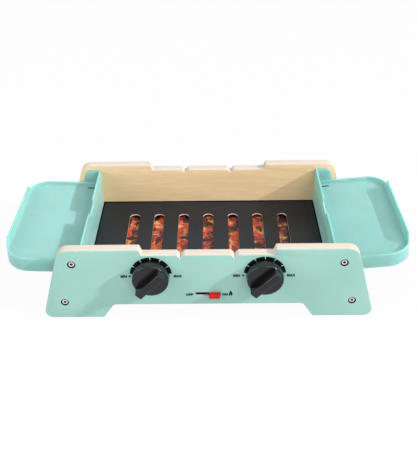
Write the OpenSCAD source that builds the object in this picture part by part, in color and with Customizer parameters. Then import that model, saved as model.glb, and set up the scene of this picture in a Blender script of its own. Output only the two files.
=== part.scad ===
// Toy griddle: two shaped plywood panels joined by moulded side frames, with fold-up trays,
// a slotted plate over a lit ember sheet, two turning knobs and a slide switch.
// Millimetres, +Z up, X along the long side, the front panel faces -Y.

/* [Cooking surface] */
// Distance from the outer slots to the plate's sides
plate_margin = 38; // [35.5:0.25:55]
// Clear depth between the two panels
bay_d = 178; // [160:0.5:200]
// Thickness of the griddle plate
plate_t = 3; // [2:0.25:4]
// Height of the cooking surface above the table
plate_z = 38.7; // [36:0.1:44]
// Number of slots in the plate
slot_n = 7; // [3:1:7]
// Distance between slot centres
slot_pitch = 31.6; // [26:0.2:38]
// Width of a slot
slot_w = 13; // [8:0.5:16]
// Length of a slot
slot_l = 115; // [80:1:120]

/* [Panels] */
// Thickness of the plywood
panel_t = 12; // [10:0.5:18]
// Height of a panel at its raised ends
panel_h = 93.5; // [86:0.5:110]
// How far a panel reaches past the plate at the top, before rounding
ear_top = 24; // [20:0.5:32]
// How far a panel reaches past the plate at the foot, before rounding
ear_foot = 50; // [42:0.5:60]
// Radius of the top corners
top_r = 14; // [8:0.5:18]
// Radius of the outer foot corners
foot_r = 9; // [4:0.5:12]
// Height of the arch between the feet
arch_h = 18.4; // [10:0.2:24]
// Half width of the arch at its top, before rounding
arch_x = 107.5; // [80:0.5:115]
// How far the arch widens from its top to the table
arch_flare = 12; // [4:0.5:18]
// Radius of the arch's top corners
arch_r = 7; // [3:0.5:10]
// Half width of the lowered part of the top edge, at mid step
step_x = 73.4; // [60:0.2:90]
// Drop of the lowered part
step_drop = 7; // [4:0.25:10]
// Sideways run of the step
step_run = 2.4; // [1.8:0.1:4]
// Rounding of the step
step_r = 2; // [1:0.25:2.5]
// Distance of each V rest from the middle
rest_x = 29.5; // [20:0.5:40]
// Width of a V rest
rest_w = 8.6; // [6:0.2:10]
// Depth of a V rest
rest_d = 4.4; // [3:0.2:6]

/* [Side frames] */
// Thickness of the side wall
wall_t = 2; // [1.6:0.1:2.6]
// Thickness of the flanges against the panels
flange_t = 1.8; // [1.5:0.1:2.4]
// Length of the spigots that reach from the flanges into the panels
spigot_h = 3; // [2.5:0.1:3.5]
// Distance of the frame's edge inside the panel's edge
frame_inset = 6; // [4:0.25:8]
// Height of the flange's lower edge above the table
flange_foot = 8; // [5:0.5:12]
// Length of the utensil notch in the wall's top edge
utensil_l = 31; // [20:0.5:45]
// Depth of the utensil notch
utensil_d = 7; // [4:0.25:10]

/* [Trays] */
// Reach of a tray from the side wall
tray_l = 88.6; // [75:0.2:105]
// Distance of a tray's lower edge below the side wall's top
tray_down = 33.5; // [31:0.25:36]
// Depth of the skirt below the tray's floor
skirt_h = 10; // [9:0.25:11]
// Thickness of the floor and lips
tray_t = 2; // [1.6:0.1:2.6]
// Height of the low lip above the floor
lip_h = 5.3; // [4:0.1:7]
// Height of the raised outer lip above the low lip
tall_h = 7.6; // [5:0.2:12]
// Length of the raised outer lip along its top
tall_l = 116; // [80:1:120]
// Radius of the tray's front corner
tray_front_r = 30; // [20:0.5:32]
// Radius of the tray's back corner
tray_back_r = 25; // [15:0.5:28]
// Angle at which a tray rests on its stop, outer end up
tray_rise = 2.25; // [0:0.25:4]
// Angle of the right tray above its stop
right_lift = 3; // [0:0.25:10]
// Distance of the hinge line from the side wall
pin_out = 12.6; // [12:0.1:16]
// Height of the hinge line above the tray's lower edge
pin_up = 7.5; // [6:0.1:8]
// Radius of a hinge stub
pin_r = 2.5; // [2:0.1:3]

/* [Knobs] */
// Distance of each knob from the middle
knob_x = 62.8; // [45:0.2:70]
// Distance of the knobs below the lowered top edge
knob_drop = 25.5; // [24:0.25:28]
// Radius of a knob at the panel
knob_r = 20.8; // [17:0.2:22]
// How far a knob narrows to its face
knob_draft = 0.8; // [0:0.1:1.5]
// Height of the knob's face above the panel
knob_h = 13; // [10:0.5:16]
// Height of the grip bar above the face
grip_h = 10.8; // [6:0.2:13]
// Width of the grip bar along its top
grip_w = 8.6; // [6:0.2:10]
// Length of the grip bar
grip_l = 38; // [30:0.5:40]
// Angle of the grip bar from level
grip_angle = 45; // [0:5:90]
// Radius of a knob's shaft
shaft_r = 4; // [3:0.1:5]

/* [Switch] */
// Length of the switch slot
switch_slot_l = 28; // [24:0.25:32]
// Height of the switch slot
switch_slot_h = 5.2; // [4.5:0.1:6]
// Width of the switch cap
cap_w = 12.6; // [9:0.2:14]
// How far the cap stands out of the panel
cap_out = 6.5; // [4:0.25:9]

/* [Fasteners] */
// Radius of a panel bolt's head
bolt_head_r = 4.25; // [3.5:0.05:5]
// Thickness of a panel bolt's head
bolt_head_t = 3.2; // [2.5:0.1:4]
// Radius of a panel bolt's shank
bolt_r = 2.5; // [2:0.05:2.8]
// Across-corners radius of the hex socket
socket_r = 1.7; // [1.2:0.05:2]
// Radius of a thread insert
insert_r = 3.5; // [3.2:0.05:4]
// Distance of the upper bolts from the side wall
upper_bolt_out = 9.7; // [8:0.1:11]
// Distance of the upper bolts below the side wall's top
upper_bolt_down = 12.5; // [9:0.25:14]
// Distance of the lower bolts from the side wall
lower_bolt_out = 23; // [14:0.25:26]
// Distance of the lower bolts above the flange's lower edge
lower_bolt_up = 14.3; // [10:0.1:18]

/* [Light tub] */
// Height of the tub under the plate
tub_h = 19.2; // [18.6:0.1:21]
// Thickness of the tub's walls and floor
tub_t = 2; // [1.6:0.1:2.5]
// Space between the tub and each panel
tub_gap = 6; // [5.8:0.1:8]
// Gap between the plate and the ember sheet
ember_gap = 2.7; // [2:0.1:4]
// Thickness of the ember sheet
ember_t = 1; // [0.6:0.1:1.4]
// Radius of a cell
cell_r = 5.25; // [5:0.05:5.5]
// Length of a cell
cell_l = 44.5; // [40:0.5:46]

/* [Hidden] */
$fn = 48;

// Clearances
slack = 0.3;       // between pieces that only lie beside each other
run = 0.08;        // round a pin or shaft that turns
fit = 0.05;        // round a piece pressed or screwed home
over = 1;          // how far a cutter runs past a face
lap = 0.2;         // how far joined shapes of one solid run into each other
arc_n = 8;         // steps in a rounded corner

// The depth is centred on the whole object, knobs included
knob_reach = knob_h + grip_h;
bay_y = knob_reach / 2;
inner_y = bay_d / 2;
outer_y = inner_y + panel_t;

// Side frames and panels
slots_x = (slot_n - 1) / 2 * slot_pitch + slot_w / 2;
plate_w = 2 * (slots_x + plate_margin);
wall_x = plate_w / 2 + slack;
wall_out = wall_x + wall_t;
wall_top = panel_h - frame_inset;
top_x = plate_w / 2 + ear_top;
foot_x = plate_w / 2 + ear_foot;
low_top = panel_h - step_drop;
side_angle = atan((foot_x - top_x) / panel_h);
tab_t = 2.5;
tab_w = 14;
tab_far = inner_y - 11;
tab_near = tab_far - 30;
plate_bottom = plate_z - plate_t;
tub_z = plate_bottom - tub_h;
wall_foot = tub_z - tab_t;
upper_bolt = [wall_x + upper_bolt_out, wall_top - upper_bolt_down];
lower_bolt = [wall_x + lower_bolt_out, flange_foot + lower_bolt_up];
spigot_wall = 1.5;
spigot_y = inner_y + spigot_h;
insert_l = spigot_h + flange_t - 0.8;
bolt_spigot_r = insert_r + spigot_wall;
pin_spigot_r = pin_r + spigot_wall;
bolt_hole_r = bolt_r + 0.2;
bolt_recess = 0.3;

// Trays
tray_side_gap = 0.7;
tray_d = bay_d - 2 * (flange_t + tray_side_gap);
tray_z = wall_top - tray_down;
tray_out = wall_out + tray_l;
floor_z = tray_z + skirt_h;
floor_top = floor_z + tray_t;
lip_top = floor_top + lip_h;
pin_x = wall_out + pin_out;
pin_z = tray_z + pin_up;
swing_r = pin_out - 0.2;
stop_reach = 4;
stop_t = 3;
stop_in = 10;
stop_l = tray_d - 2 * stop_in;
tall_slope = 4;
relief_l = 9;
relief_w = 2.4;
relief_in = 7;
relief_back = 1;

// Knobs
knob_z = low_top - knob_drop;
knob_wall = 2.2;
knob_lift = 0.4;
bush_r = shaft_r + 2;
bush_flange_r = knob_r - 6.8;
bush_flange_t = 2.5;
click_n = 24;
click_r = 0.9;
nut_pocket_r = 9;
nut_pocket_d = 4.8;
bush_end = panel_t - nut_pocket_d;
washer_r = 7.5;
washer_t = 1;
knob_screw_r = 1.5;
knob_screw_head_r = 3;
knob_screw_head_t = 2;
shaft_end = bush_end + slack;

// Switch
switch_z = plate_bottom - switch_slot_h / 2 - slack;
cap_gap = 0.15;
cap_h = switch_slot_h - 2 * cap_gap;
switch_travel = switch_slot_l - cap_w - 1;
lever_w = 6;
lever_h = 2.2;
lever_in = 3.4;
switch_body_w = switch_travel + lever_w + 9;
switch_body_d = tub_gap - 0.8;
switch_body_h = 8;
ear_w = 7;
ear_t = 1.6;
switch_screw_x = switch_body_w / 2 + ear_w / 2;
switch_screw_z = switch_z - 1;
switch_screw_l = 6;

// Tub
tub_x = wall_x - slack;
tub_y = inner_y - tub_gap;
tub_floor = tub_z + tub_t;
ember_z = plate_bottom - ember_gap - ember_t;
box_x = slots_x + 3.2;
box_y = slot_l / 2 + 6.5;
box_t = 3;
seat_t = 1.5;
boss_r = 3.5;
boss_h = 8;
boss_hole = 7;
screw_in = 6;
tub_screw_x = tub_x - 7;
tub_screw_y = (tab_near + tab_far) / 2;
plate_post_in = [27, 8];
plate_post = [tub_x - plate_post_in[0], tub_y - plate_post_in[1]];
screw_r = 1.5;
screw_head_r = 2.8;
screw_head_t = 2;
plate_bite = 2;

// Board and lamps
board_w = 2 * slots_x - 3;
board_d = 14;
board_t = 1.6;
board_post_h = 3;
board_z = tub_floor + board_post_h;
board_top = board_z + board_t;
board_post_x = 2.5 * slot_pitch;
board_screw_r = 1.2;
lamp_r = 2.5;
lamp_h = 4;

// Cells, to the right of the lit box
cell_gap = 1.5;
bay_x1 = tub_x - tub_t - 0.8;
bay_x0 = bay_x1 - 2 * (2 * cell_r + cell_gap) - 1;
cell_x = (bay_x0 + bay_x1) / 2;
cell_step = cell_r + cell_gap / 2;
cell_z = tub_floor + slack + cell_r;
contact_t = 0.5;
spring_l = 3.6;
cell_room = cell_l / 2 + spring_l + contact_t + slack;
rib_t = 2;
rib_top = cell_z + 3.4;
contact_w = 8;
contact_rise = 4.5;
contact_drop = 4;
contact_top = cell_z + contact_rise;
contact_foot = cell_z - contact_drop;
plus_w = 6;
plus_r = 2.4;
spring_r = 3;
door_end = cell_room + rib_t + 7;
door_gap = 0.25;
door_screw_y = -(cell_room + rib_t + 3.6);
tongue_w = 12;
tongue_l = 6;
tongue_t = 1.4;

// Leads: the points that each wire passes, chosen by hand from what it joins
wire_r = 0.7;
wire_rest = wire_r + fit;
switch_lead_x = 6;
lead_window_x = 10;
lead_window_z = [board_top + 0.4, ember_z - 3];
cell_lead_z = contact_top + wire_rest;
cell_lead_y = cell_room - contact_t / 2;
board_end_x = board_w / 2 - 3;

function switch_route(side) = [
    [side * switch_lead_x, -inner_y + switch_body_d + fit, switch_z - 1],
    [side * switch_lead_x, -inner_y + switch_body_d + 4, switch_z - 1.2],
    [side * switch_lead_x, -box_y - 6, board_top + 4],
    [side * switch_lead_x, -box_y + 6, board_top + 2.4],
    [side * switch_lead_x, -30, board_top + wire_rest + 0.4],
    [side * switch_lead_x, -board_d / 2 + 4, board_top + wire_rest]
];
function cell_route(side) = [
    [cell_x + side * cell_step, cell_lead_y, cell_lead_z],
    [cell_x + side * cell_step - 3, cell_lead_y + 0.4, cell_lead_z],
    [cell_x + side * cell_step - 6, cell_lead_y + 1 + side, cell_lead_z],
    [bay_x0, cell_lead_y + 1.2 + side * 1.2, cell_lead_z],
    [box_x - 3, cell_lead_y + 1.2 + side * 1.2, cell_lead_z],
    [box_x - 6 - side * 1.2, cell_lead_y - 6, board_top + 3],
    [board_end_x - side * 1.5, board_d / 2 + 4, board_top + wire_rest + 0.6],
    [board_end_x - side * 1.5, board_d / 2 - 3, board_top + wire_rest]
];

// Outlines: a corner is [across, up, radius], and a round corner becomes an arc
function unit(v) = v / norm(v);
function flat(c) = [c[0], c[1]];
function arc(mid, r, from, turn) =
    [for (i = [0 : arc_n]) mid + r * [cos(from + turn * i / arc_n), sin(from + turn * i / arc_n)]];
function corner(before, at, after) = at[2] == 0 ? [flat(at)] :
    let (a = unit(flat(before) - flat(at)))
    let (b = unit(flat(after) - flat(at)))
    let (half = acos(a * b) / 2)
    let (mid = flat(at) + unit(a + b) * at[2] / sin(half))
    let (p = flat(at) + a * at[2] / tan(half) - mid)
    let (q = flat(at) + b * at[2] / tan(half) - mid)
    let (from = atan2(p[1], p[0]))
    let (turn = (atan2(q[1], q[0]) - from + 540) % 360 - 180)
    arc(mid, at[2], from, turn);
function rounded(c) = let (n = len(c))
    [for (i = [0 : n - 1]) each corner(c[(i + n - 1) % n], c[i], c[(i + 1) % n])];
function both_sides(c) =
    concat(c, [for (i = [len(c) - 1 : -1 : 0]) [-c[i][0], c[i][1], c[i][2]]]);

function panel_edge_x(z) = foot_x + (top_x - foot_x) * z / panel_h;
function frame_edge_x(z) = panel_edge_x(z) - frame_inset / cos(side_angle);

panel_corners = both_sides([
    [rest_x - rest_w / 2, low_top, 0.8],
    [rest_x, low_top - rest_d, 0.6],
    [rest_x + rest_w / 2, low_top, 0.8],
    [step_x - step_run / 2, low_top, step_r],
    [step_x + step_run / 2, panel_h, step_r],
    [top_x, panel_h, top_r],
    [foot_x, 0, foot_r],
    [arch_x + arch_flare, 0, 1.5],
    [arch_x, arch_h, arch_r]
]);
flange_corners = [
    [wall_x, wall_top, 0],
    [frame_edge_x(wall_top), wall_top, top_r - frame_inset],
    [frame_edge_x(flange_foot), flange_foot, 5],
    [wall_x, flange_foot, 2]
];
// The tray's outline moved in by an inset, except at the wall, where it runs out past the end
function tray_corners(inset) = [
    [wall_out - inset, -tray_d / 2 + inset, 0],
    [tray_out - inset, -tray_d / 2 + inset, tray_front_r - inset],
    [tray_out - inset, tray_d / 2 - inset, tray_back_r - inset],
    [wall_out - inset, tray_d / 2 - inset, 0]
];

// Helpers
module placed() { translate([0, bay_y, 0]) children(); }
module left_of() { mirror([1, 0, 0]) children(); }
module back_of() { mirror([0, 1, 0]) children(); }
module block(low, high) { translate(low) cube(high - low); }
module rod(x, z, y0, y1, r) { translate([x, y1, z]) rotate([90, 0, 0]) cylinder(h = y1 - y0, r = r); }
module post(x, y, z0, z1, r) { translate([x, y, z0]) cylinder(h = z1 - z0, r = r); }
module upright(points, y0, y1) {
    translate([0, y1, 0]) rotate([90, 0, 0]) linear_extrude(y1 - y0) polygon(points);
}
module lying(points, z0, z1) { translate([0, 0, z0]) linear_extrude(z1 - z0) polygon(points); }
// A point on a knob's axis at the front panel's outer face, with local +Z out of the panel
module at_knob(side) {
    placed() translate([side * knob_x, -outer_y, knob_z]) rotate([90, 0, 0]) children();
}
module at_bolts() {
    for (side = [-1, 1], p = [upper_bolt, lower_bolt]) translate([side * p[0], 0, p[1]]) children();
}
module at_slots() {
    for (i = [0 : slot_n - 1]) translate([(i - (slot_n - 1) / 2) * slot_pitch, 0, 0]) children();
}
module at_pins() { for (side = [-1, 1]) translate([side * pin_x, 0, pin_z]) children(); }
// Turns a shape about the right tray's hinge line, outer end up
module raised(angle) {
    translate([pin_x, 0, pin_z]) rotate([0, -angle, 0]) translate([-pin_x, 0, -pin_z]) children();
}
module at_four(x, y) { for (sx = [-1, 1], sy = [-1, 1]) translate([sx * x, sy * y, 0]) children(); }

// A round wire along a route, with flat ends
module wire(route) {
    sides = 8;
    last = len(route) - 1;
    function heading(i) = unit(route[min(i + 1, last)] - route[max(i - 1, 0)]);
    rings = [for (i = [0 : last])
        let (u = unit(cross(heading(i), [0, 0, 1])))
        let (v = cross(u, heading(i)))
        for (k = [0 : sides - 1])
            route[i] + wire_r * (u * cos(k * 360 / sides) + v * sin(k * 360 / sides))];
    skin = [for (i = [0 : last - 1], k = [0 : sides - 1])
        let (n = (k + 1) % sides)
        each [
            [i * sides + k, i * sides + n, (i + 1) * sides + n],
            [i * sides + k, (i + 1) * sides + n, (i + 1) * sides + k]
        ]];
    ends = [
        [for (k = [sides - 1 : -1 : 0]) k],
        [for (k = [0 : sides - 1]) last * sides + k]
    ];
    polyhedron(rings, concat(skin, ends));
}

// Panels
module bolted_panel() {
    difference() {
        upright(rounded(panel_corners), -outer_y, -inner_y);
        at_bolts() {
            rod(0, 0, -outer_y - over, -inner_y + over, bolt_hole_r);
            rod(0, 0, -outer_y - over, -outer_y + bolt_head_t + bolt_recess, bolt_head_r + slack);
            rod(0, 0, -spigot_y - slack, -inner_y + over, bolt_spigot_r + slack);
        }
        at_pins() rod(0, 0, -spigot_y - slack, -inner_y + over, pin_spigot_r + slack);
    }
}
module front_panel() {
    color("mediumaquamarine") placed() difference() {
        bolted_panel();
        for (side = [-1, 1]) {
            rod(side * knob_x, knob_z, -outer_y - over, -inner_y + over, bush_r + fit);
            rod(side * knob_x, knob_z, -inner_y - nut_pocket_d, -inner_y + over, nut_pocket_r);
            rod(side * switch_screw_x, switch_screw_z, -inner_y - switch_screw_l - slack, -inner_y + over,
                board_screw_r + fit);
        }
        block([-switch_slot_l / 2, -outer_y - over, switch_z - switch_slot_h / 2],
              [switch_slot_l / 2, -inner_y + over, switch_z + switch_slot_h / 2]);
    }
}
module back_panel() { color("mediumaquamarine") placed() back_of() bolted_panel(); }

// Side frames
module side_frame() {
    difference() {
        union() {
            block([wall_x, -inner_y, wall_foot], [wall_out, inner_y, wall_top]);
            for (s = [0, 1]) mirror([0, s, 0]) {
                upright(rounded(flange_corners), -inner_y, -inner_y + flange_t);
                for (p = [upper_bolt, lower_bolt])
                    rod(p[0], p[1], -spigot_y, -inner_y + lap, bolt_spigot_r);
                rod(pin_x, pin_z, -spigot_y, -inner_y + lap, pin_spigot_r);
                block([wall_x - tab_w, tab_near, wall_foot], [wall_x + lap, tab_far, tub_z]);
            }
            raised(tray_rise) block([wall_out - lap, -stop_l / 2, floor_top + fit],
                                    [wall_out + stop_reach, stop_l / 2, floor_top + fit + stop_t]);
        }
        block([wall_x - over, -utensil_l / 2, wall_top - utensil_d],
              [wall_out + over, utensil_l / 2, wall_top + over]);
        for (s = [0, 1]) mirror([0, s, 0]) {
            for (p = [upper_bolt, lower_bolt])
                rod(p[0], p[1], -spigot_y - over, -spigot_y + insert_l, insert_r + fit);
            rod(pin_x, pin_z, -spigot_y - over, -inner_y + flange_t + over, pin_r + run);
            post(tub_screw_x, tub_screw_y, wall_foot - over, tub_z + over, screw_r + 0.2);
        }
    }
}
module right_side_frame() { color("paleturquoise") placed() side_frame(); }
module left_side_frame() { color("paleturquoise") placed() left_of() side_frame(); }

// Trays
module tray_rim(z0, z1) {
    difference() {
        lying(rounded(tray_corners(0)), z0, z1);
        lying(rounded(tray_corners(tray_t)), z0 - over, z1 + over);
    }
}
module tray() {
    difference() {
        union() {
            tray_rim(tray_z, lip_top);
            lying(rounded(tray_corners(tray_t - lap)), floor_z, floor_top);
            block([pin_x - 9.5, -tray_d / 2 + lap, tray_z], [pin_x - 7.5, tray_d / 2 - lap, floor_z + lap]);
            intersection() {
                tray_rim(lip_top - lap, lip_top + tall_h);
                translate([tray_out - tray_back_r / 2, 0, 0]) rotate([90, 0, 90])
                    linear_extrude(tray_back_r) polygon([
                        [-tall_l / 2 - tall_slope, lip_top - lap], [tall_l / 2 + tall_slope, lip_top - lap],
                        [tall_l / 2, lip_top + tall_h], [-tall_l / 2, lip_top + tall_h]
                    ]);
            }
            for (s = [0, 1]) mirror([0, s, 0])
                rod(pin_x, pin_z, -spigot_y + slack, -tray_d / 2 + lap, pin_r);
        }
        // The end at the wall is round about the hinge line, so that it clears the wall as it turns
        difference() {
            block([wall_out - tray_t - over, -inner_y, tray_z - over], [pin_x, inner_y, lip_top + over]);
            rod(pin_x, pin_z, -inner_y - over, inner_y + over, swing_r);
        }
        for (s = [0, 1]) mirror([0, s, 0])
            translate([pin_x - relief_l / 2 - relief_back, tray_d / 2 - relief_in - relief_w / 2, floor_z - over])
                cube([relief_l, relief_w, tray_t + 2 * over]);
    }
}
module right_tray() { color("aquamarine") placed() raised(tray_rise + right_lift) tray(); }
module left_tray() { color("aquamarine") placed() left_of() raised(tray_rise) tray(); }

// Plate and ember sheet
module slot_outline(w, l) {
    square([w, l - w], center = true);
    for (s = [-1, 1]) translate([0, s * (l - w) / 2]) circle(d = w);
}
module griddle_plate() {
    color("dimgray") placed() difference() {
        block([-plate_w / 2, -inner_y + slack, plate_bottom], [plate_w / 2, inner_y - slack, plate_z]);
        at_slots() translate([0, 0, plate_bottom - over])
            linear_extrude(plate_t + 2 * over) slot_outline(slot_w, slot_l);
        at_four(plate_post[0], plate_post[1])
            post(0, 0, plate_bottom - over, plate_bottom + plate_bite, board_screw_r + fit);
    }
}
module ember_sheet() {
    color("orangered") placed()
        block([-box_x - seat_t + fit, -box_y - seat_t + fit, ember_z],
              [box_x + seat_t - fit, box_y + seat_t - fit, ember_z + ember_t]);
}

// Light tub
module light_tub() {
    color("darkslategray") placed() difference() {
        union() {
            difference() {
                block([-tub_x, -tub_y, tub_z], [tub_x, tub_y, plate_bottom]);
                block([-tub_x + tub_t, -tub_y + tub_t, tub_floor],
                      [tub_x - tub_t, tub_y - tub_t, plate_z]);
            }
            difference() {
                block([-box_x - box_t, -box_y - box_t, tub_floor - lap],
                      [box_x + box_t, box_y + box_t, ember_z + ember_t]);
                block([-box_x, -box_y, tub_floor - over], [box_x, box_y, plate_z]);
                block([-box_x - seat_t, -box_y - seat_t, ember_z],
                      [box_x + seat_t, box_y + seat_t, plate_z]);
            }
            for (s = [-1, 1]) {
                block([box_x + box_t - lap, s * (cell_room + rib_t / 2) - rib_t / 2, tub_floor],
                      [tub_x - tub_t + lap, s * (cell_room + rib_t / 2) + rib_t / 2, rib_top]);
                post(s * board_post_x, 0, tub_floor - lap, board_z, boss_r);
            }
            at_four(tub_screw_x, tub_screw_y) post(0, 0, tub_floor - lap, tub_floor + boss_h, boss_r);
            at_four(plate_post[0], plate_post[1]) post(0, 0, tub_floor - lap, plate_bottom, boss_r + 0.5);
            post(cell_x, door_screw_y, tub_floor, tub_floor + boss_h, boss_r - 0.5);
            block([cell_x - boss_r, door_screw_y - boss_r, tub_floor + 1],
                  [cell_x + boss_r, -cell_room - lap, tub_floor + 6]);
        }
        at_four(tub_screw_x, tub_screw_y) post(0, 0, tub_z - over, tub_floor + boss_hole, screw_r + fit);
        at_four(plate_post[0], plate_post[1]) {
            post(0, 0, tub_z - over, plate_bottom + over, board_screw_r + 0.2);
            post(0, 0, tub_z - over, tub_z + 3, screw_head_r);
        }
        for (s = [-1, 1])
            post(s * board_post_x, 0, tub_floor + 0.4, board_z + over, board_screw_r + fit);
        // Opening for the cells, and the screw of its cover
        block([bay_x0, -door_end, tub_z - over], [bay_x1, door_end, tub_floor]);
        post(cell_x, door_screw_y, tub_floor - over, tub_floor + boss_hole, board_screw_r + fit);
        // Ways for the leads
        block([-lead_window_x, -tub_y - over, switch_z - 4],
              [lead_window_x, -tub_y + tub_t + over, plate_z]);
        block([-lead_window_x, -box_y - box_t - over, lead_window_z[0]],
              [lead_window_x, -box_y + over, lead_window_z[1]]);
        block([box_x - over, cell_lead_y - 3, rib_top + slack],
              [box_x + box_t + over, cell_lead_y + 5, ember_z - 0.6]);
    }
}
module tub_screws() {
    color("silver") placed() at_four(tub_screw_x, tub_screw_y) {
        post(0, 0, wall_foot - screw_head_t, wall_foot, screw_head_r);
        post(0, 0, wall_foot - lap, tub_floor + screw_in, screw_r);
    }
}
module plate_screws() {
    color("silver") placed() at_four(plate_post[0], plate_post[1]) {
        post(0, 0, tub_z + 3 - screw_head_t, tub_z + 3, screw_head_r - slack);
        post(0, 0, tub_z + 3 - lap, plate_bottom + plate_bite - slack, board_screw_r);
    }
}

// Board and lamps
module led_board() {
    color("forestgreen") placed() difference() {
        block([-board_w / 2, -board_d / 2, board_z], [board_w / 2, board_d / 2, board_top]);
        for (s = [-1, 1])
            post(s * board_post_x, 0, board_z - over, board_top + over, board_screw_r + 0.15);
    }
}
module leds() {
    color("orange") placed() at_slots() translate([0, 0, board_top]) rotate_extrude() union() {
        square([lamp_r + 0.4, 1]);
        square([lamp_r, lamp_h]);
        intersection() {
            translate([0, lamp_h]) circle(r = lamp_r);
            translate([0, lamp_h - lap]) square([lamp_r, lamp_r + lap]);
        }
    }
}
module led_board_screws() {
    color("silver") placed() for (s = [-1, 1]) {
        post(s * board_post_x, 0, board_top, board_top + 1.4, board_screw_r + 1);
        post(s * board_post_x, 0, tub_floor + 0.6, board_top + lap, board_screw_r);
    }
}

// Cells and their cover
module battery_door() {
    color("darkslategray") placed() difference() {
        union() {
            block([bay_x0 + door_gap, -door_end + door_gap, tub_z],
                  [bay_x1 - door_gap, door_end - door_gap, tub_floor]);
            // Tongue that hooks over the edge of the tub's floor
            block([cell_x - tongue_w / 2, door_end - tongue_l / 2, tub_floor - lap],
                  [cell_x + tongue_w / 2, door_end - 1, tub_floor + door_gap + tongue_t]);
            block([cell_x - tongue_w / 2, door_end - tongue_l / 2, tub_floor + door_gap],
                  [cell_x + tongue_w / 2, door_end + tongue_l / 2, tub_floor + door_gap + tongue_t]);
        }
        post(cell_x, door_screw_y, tub_z - over, tub_floor + over, board_screw_r + 0.2);
        post(cell_x, door_screw_y, tub_z - over, tub_z + 1.2, board_screw_r + 1.3);
    }
}
module battery_door_screw() {
    color("silver") placed() {
        post(cell_x, door_screw_y, tub_z + 0.1, tub_z + 1.2, board_screw_r + 1);
        post(cell_x, door_screw_y, tub_z + 1.2 - lap, tub_floor + screw_in, board_screw_r);
    }
}
module battery_cells() {
    color("gold") placed() for (s = [-1, 1]) {
        rod(cell_x + s * cell_step, cell_z, -cell_l / 2, cell_l / 2 - 1, cell_r);
        rod(cell_x + s * cell_step, cell_z, cell_l / 2 - 1 - lap, cell_l / 2, 1.9);
    }
}
module battery_contacts() {
    y0 = cell_room - contact_t;
    spring_room = cell_room - contact_t - cell_l / 2 - fit;
    color("silver") placed() {
        for (s = [-1, 1]) {
            block([cell_x + s * cell_step - plus_w / 2, y0, contact_foot],
                  [cell_x + s * cell_step + plus_w / 2, cell_room, contact_top]);
            rod(cell_x + s * cell_step, cell_z, y0 - spring_room, y0 + lap, plus_r);
        }
        block([cell_x - cell_step - contact_w / 2, -cell_room, contact_foot],
              [cell_x + cell_step + contact_w / 2, -y0, contact_top]);
        for (s = [-1, 1]) rod(cell_x + s * cell_step, cell_z, -y0 - lap, -y0 + spring_room, spring_r);
    }
}
module battery_leads() { color("firebrick") placed() for (s = [-1, 1]) wire(cell_route(s)); }
module switch_leads() { color("black") placed() for (s = [-1, 1]) wire(switch_route(s)); }

// Switch
module switch_body() {
    top = plate_bottom - slack;
    color("gainsboro") placed() difference() {
        union() {
            block([-switch_body_w / 2, -inner_y, top - switch_body_h],
                  [switch_body_w / 2, -inner_y + switch_body_d, top]);
            block([-switch_body_w / 2 - ear_w, -inner_y, switch_screw_z - ear_w / 2],
                  [switch_body_w / 2 + ear_w, -inner_y + ear_t, switch_screw_z + ear_w / 2]);
        }
        block([-switch_travel / 2 - lever_w / 2 - 1, -inner_y - over, switch_z - lever_h / 2 - slack],
              [switch_travel / 2 + lever_w / 2 + 1, -inner_y + lever_in + slack,
               switch_z + lever_h / 2 + slack]);
        for (s = [-1, 1])
            rod(s * switch_screw_x, switch_screw_z, -inner_y - over, -inner_y + ear_t + over,
                board_screw_r + 0.2);
    }
}
module switch_screws() {
    color("silver") placed() for (s = [-1, 1]) {
        rod(s * switch_screw_x, switch_screw_z, -inner_y + ear_t, -inner_y + ear_t + 1.6,
            board_screw_r + 1);
        rod(s * switch_screw_x, switch_screw_z, -inner_y - switch_screw_l, -inner_y + ear_t + lap,
            board_screw_r);
    }
}
module switch_cap() {
    color("crimson") placed() translate([switch_travel / 2, 0, 0]) {
        block([-cap_w / 2, -outer_y - cap_out, switch_z - cap_h / 2],
              [cap_w / 2, -inner_y - 0.5, switch_z + cap_h / 2]);
        block([-lever_w / 2, -inner_y - 0.5 - lap, switch_z - lever_h / 2],
              [lever_w / 2, -inner_y + lever_in, switch_z + lever_h / 2]);
    }
}

// Knobs
module knob(side) {
    face_r = knob_r - knob_draft;
    edge = 1.2;
    skirt_in = knob_r - knob_wall;
    roof = knob_h - knob_wall;
    color([0.1, 0.1, 0.12]) at_knob(side) difference() {
        union() {
            rotate_extrude() polygon(rounded([
                [0, knob_h, 0], [face_r, knob_h, edge], [knob_r, knob_lift, 0.3], [skirt_in, knob_lift, 0],
                [skirt_in - knob_draft, roof, 1], [shaft_r + 2.4, roof, 1],
                [shaft_r + 2.4, bush_flange_t + slack, 0], [shaft_r, bush_flange_t + slack, 0],
                [shaft_r, -shaft_end, 0], [0, -shaft_end, 0]
            ]));
            intersection() {
                rotate([0, 0, grip_angle]) rotate([90, 0, 90]) translate([0, 0, -grip_l / 2])
                    linear_extrude(grip_l) polygon(rounded([
                        [-grip_w / 2 - 0.8, knob_h - lap, 0], [grip_w / 2 + 0.8, knob_h - lap, 0],
                        [grip_w / 2, knob_reach, 1], [-grip_w / 2, knob_reach, 1]
                    ]));
                cylinder(h = knob_reach + over, r = face_r);
            }
            // Fingers that ride the bush's notches
            for (a = [0, 180]) rotate([0, 0, a + 360 / click_n / 2])
                block([bush_flange_r + slack, -0.6, knob_lift + 0.2],
                      [skirt_in + lap, 0.6, knob_lift + 2.2]);
        }
        translate([0, 0, -shaft_end - over]) cylinder(h = shaft_end + over + 3, r = knob_screw_r + fit);
    }
}
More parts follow.
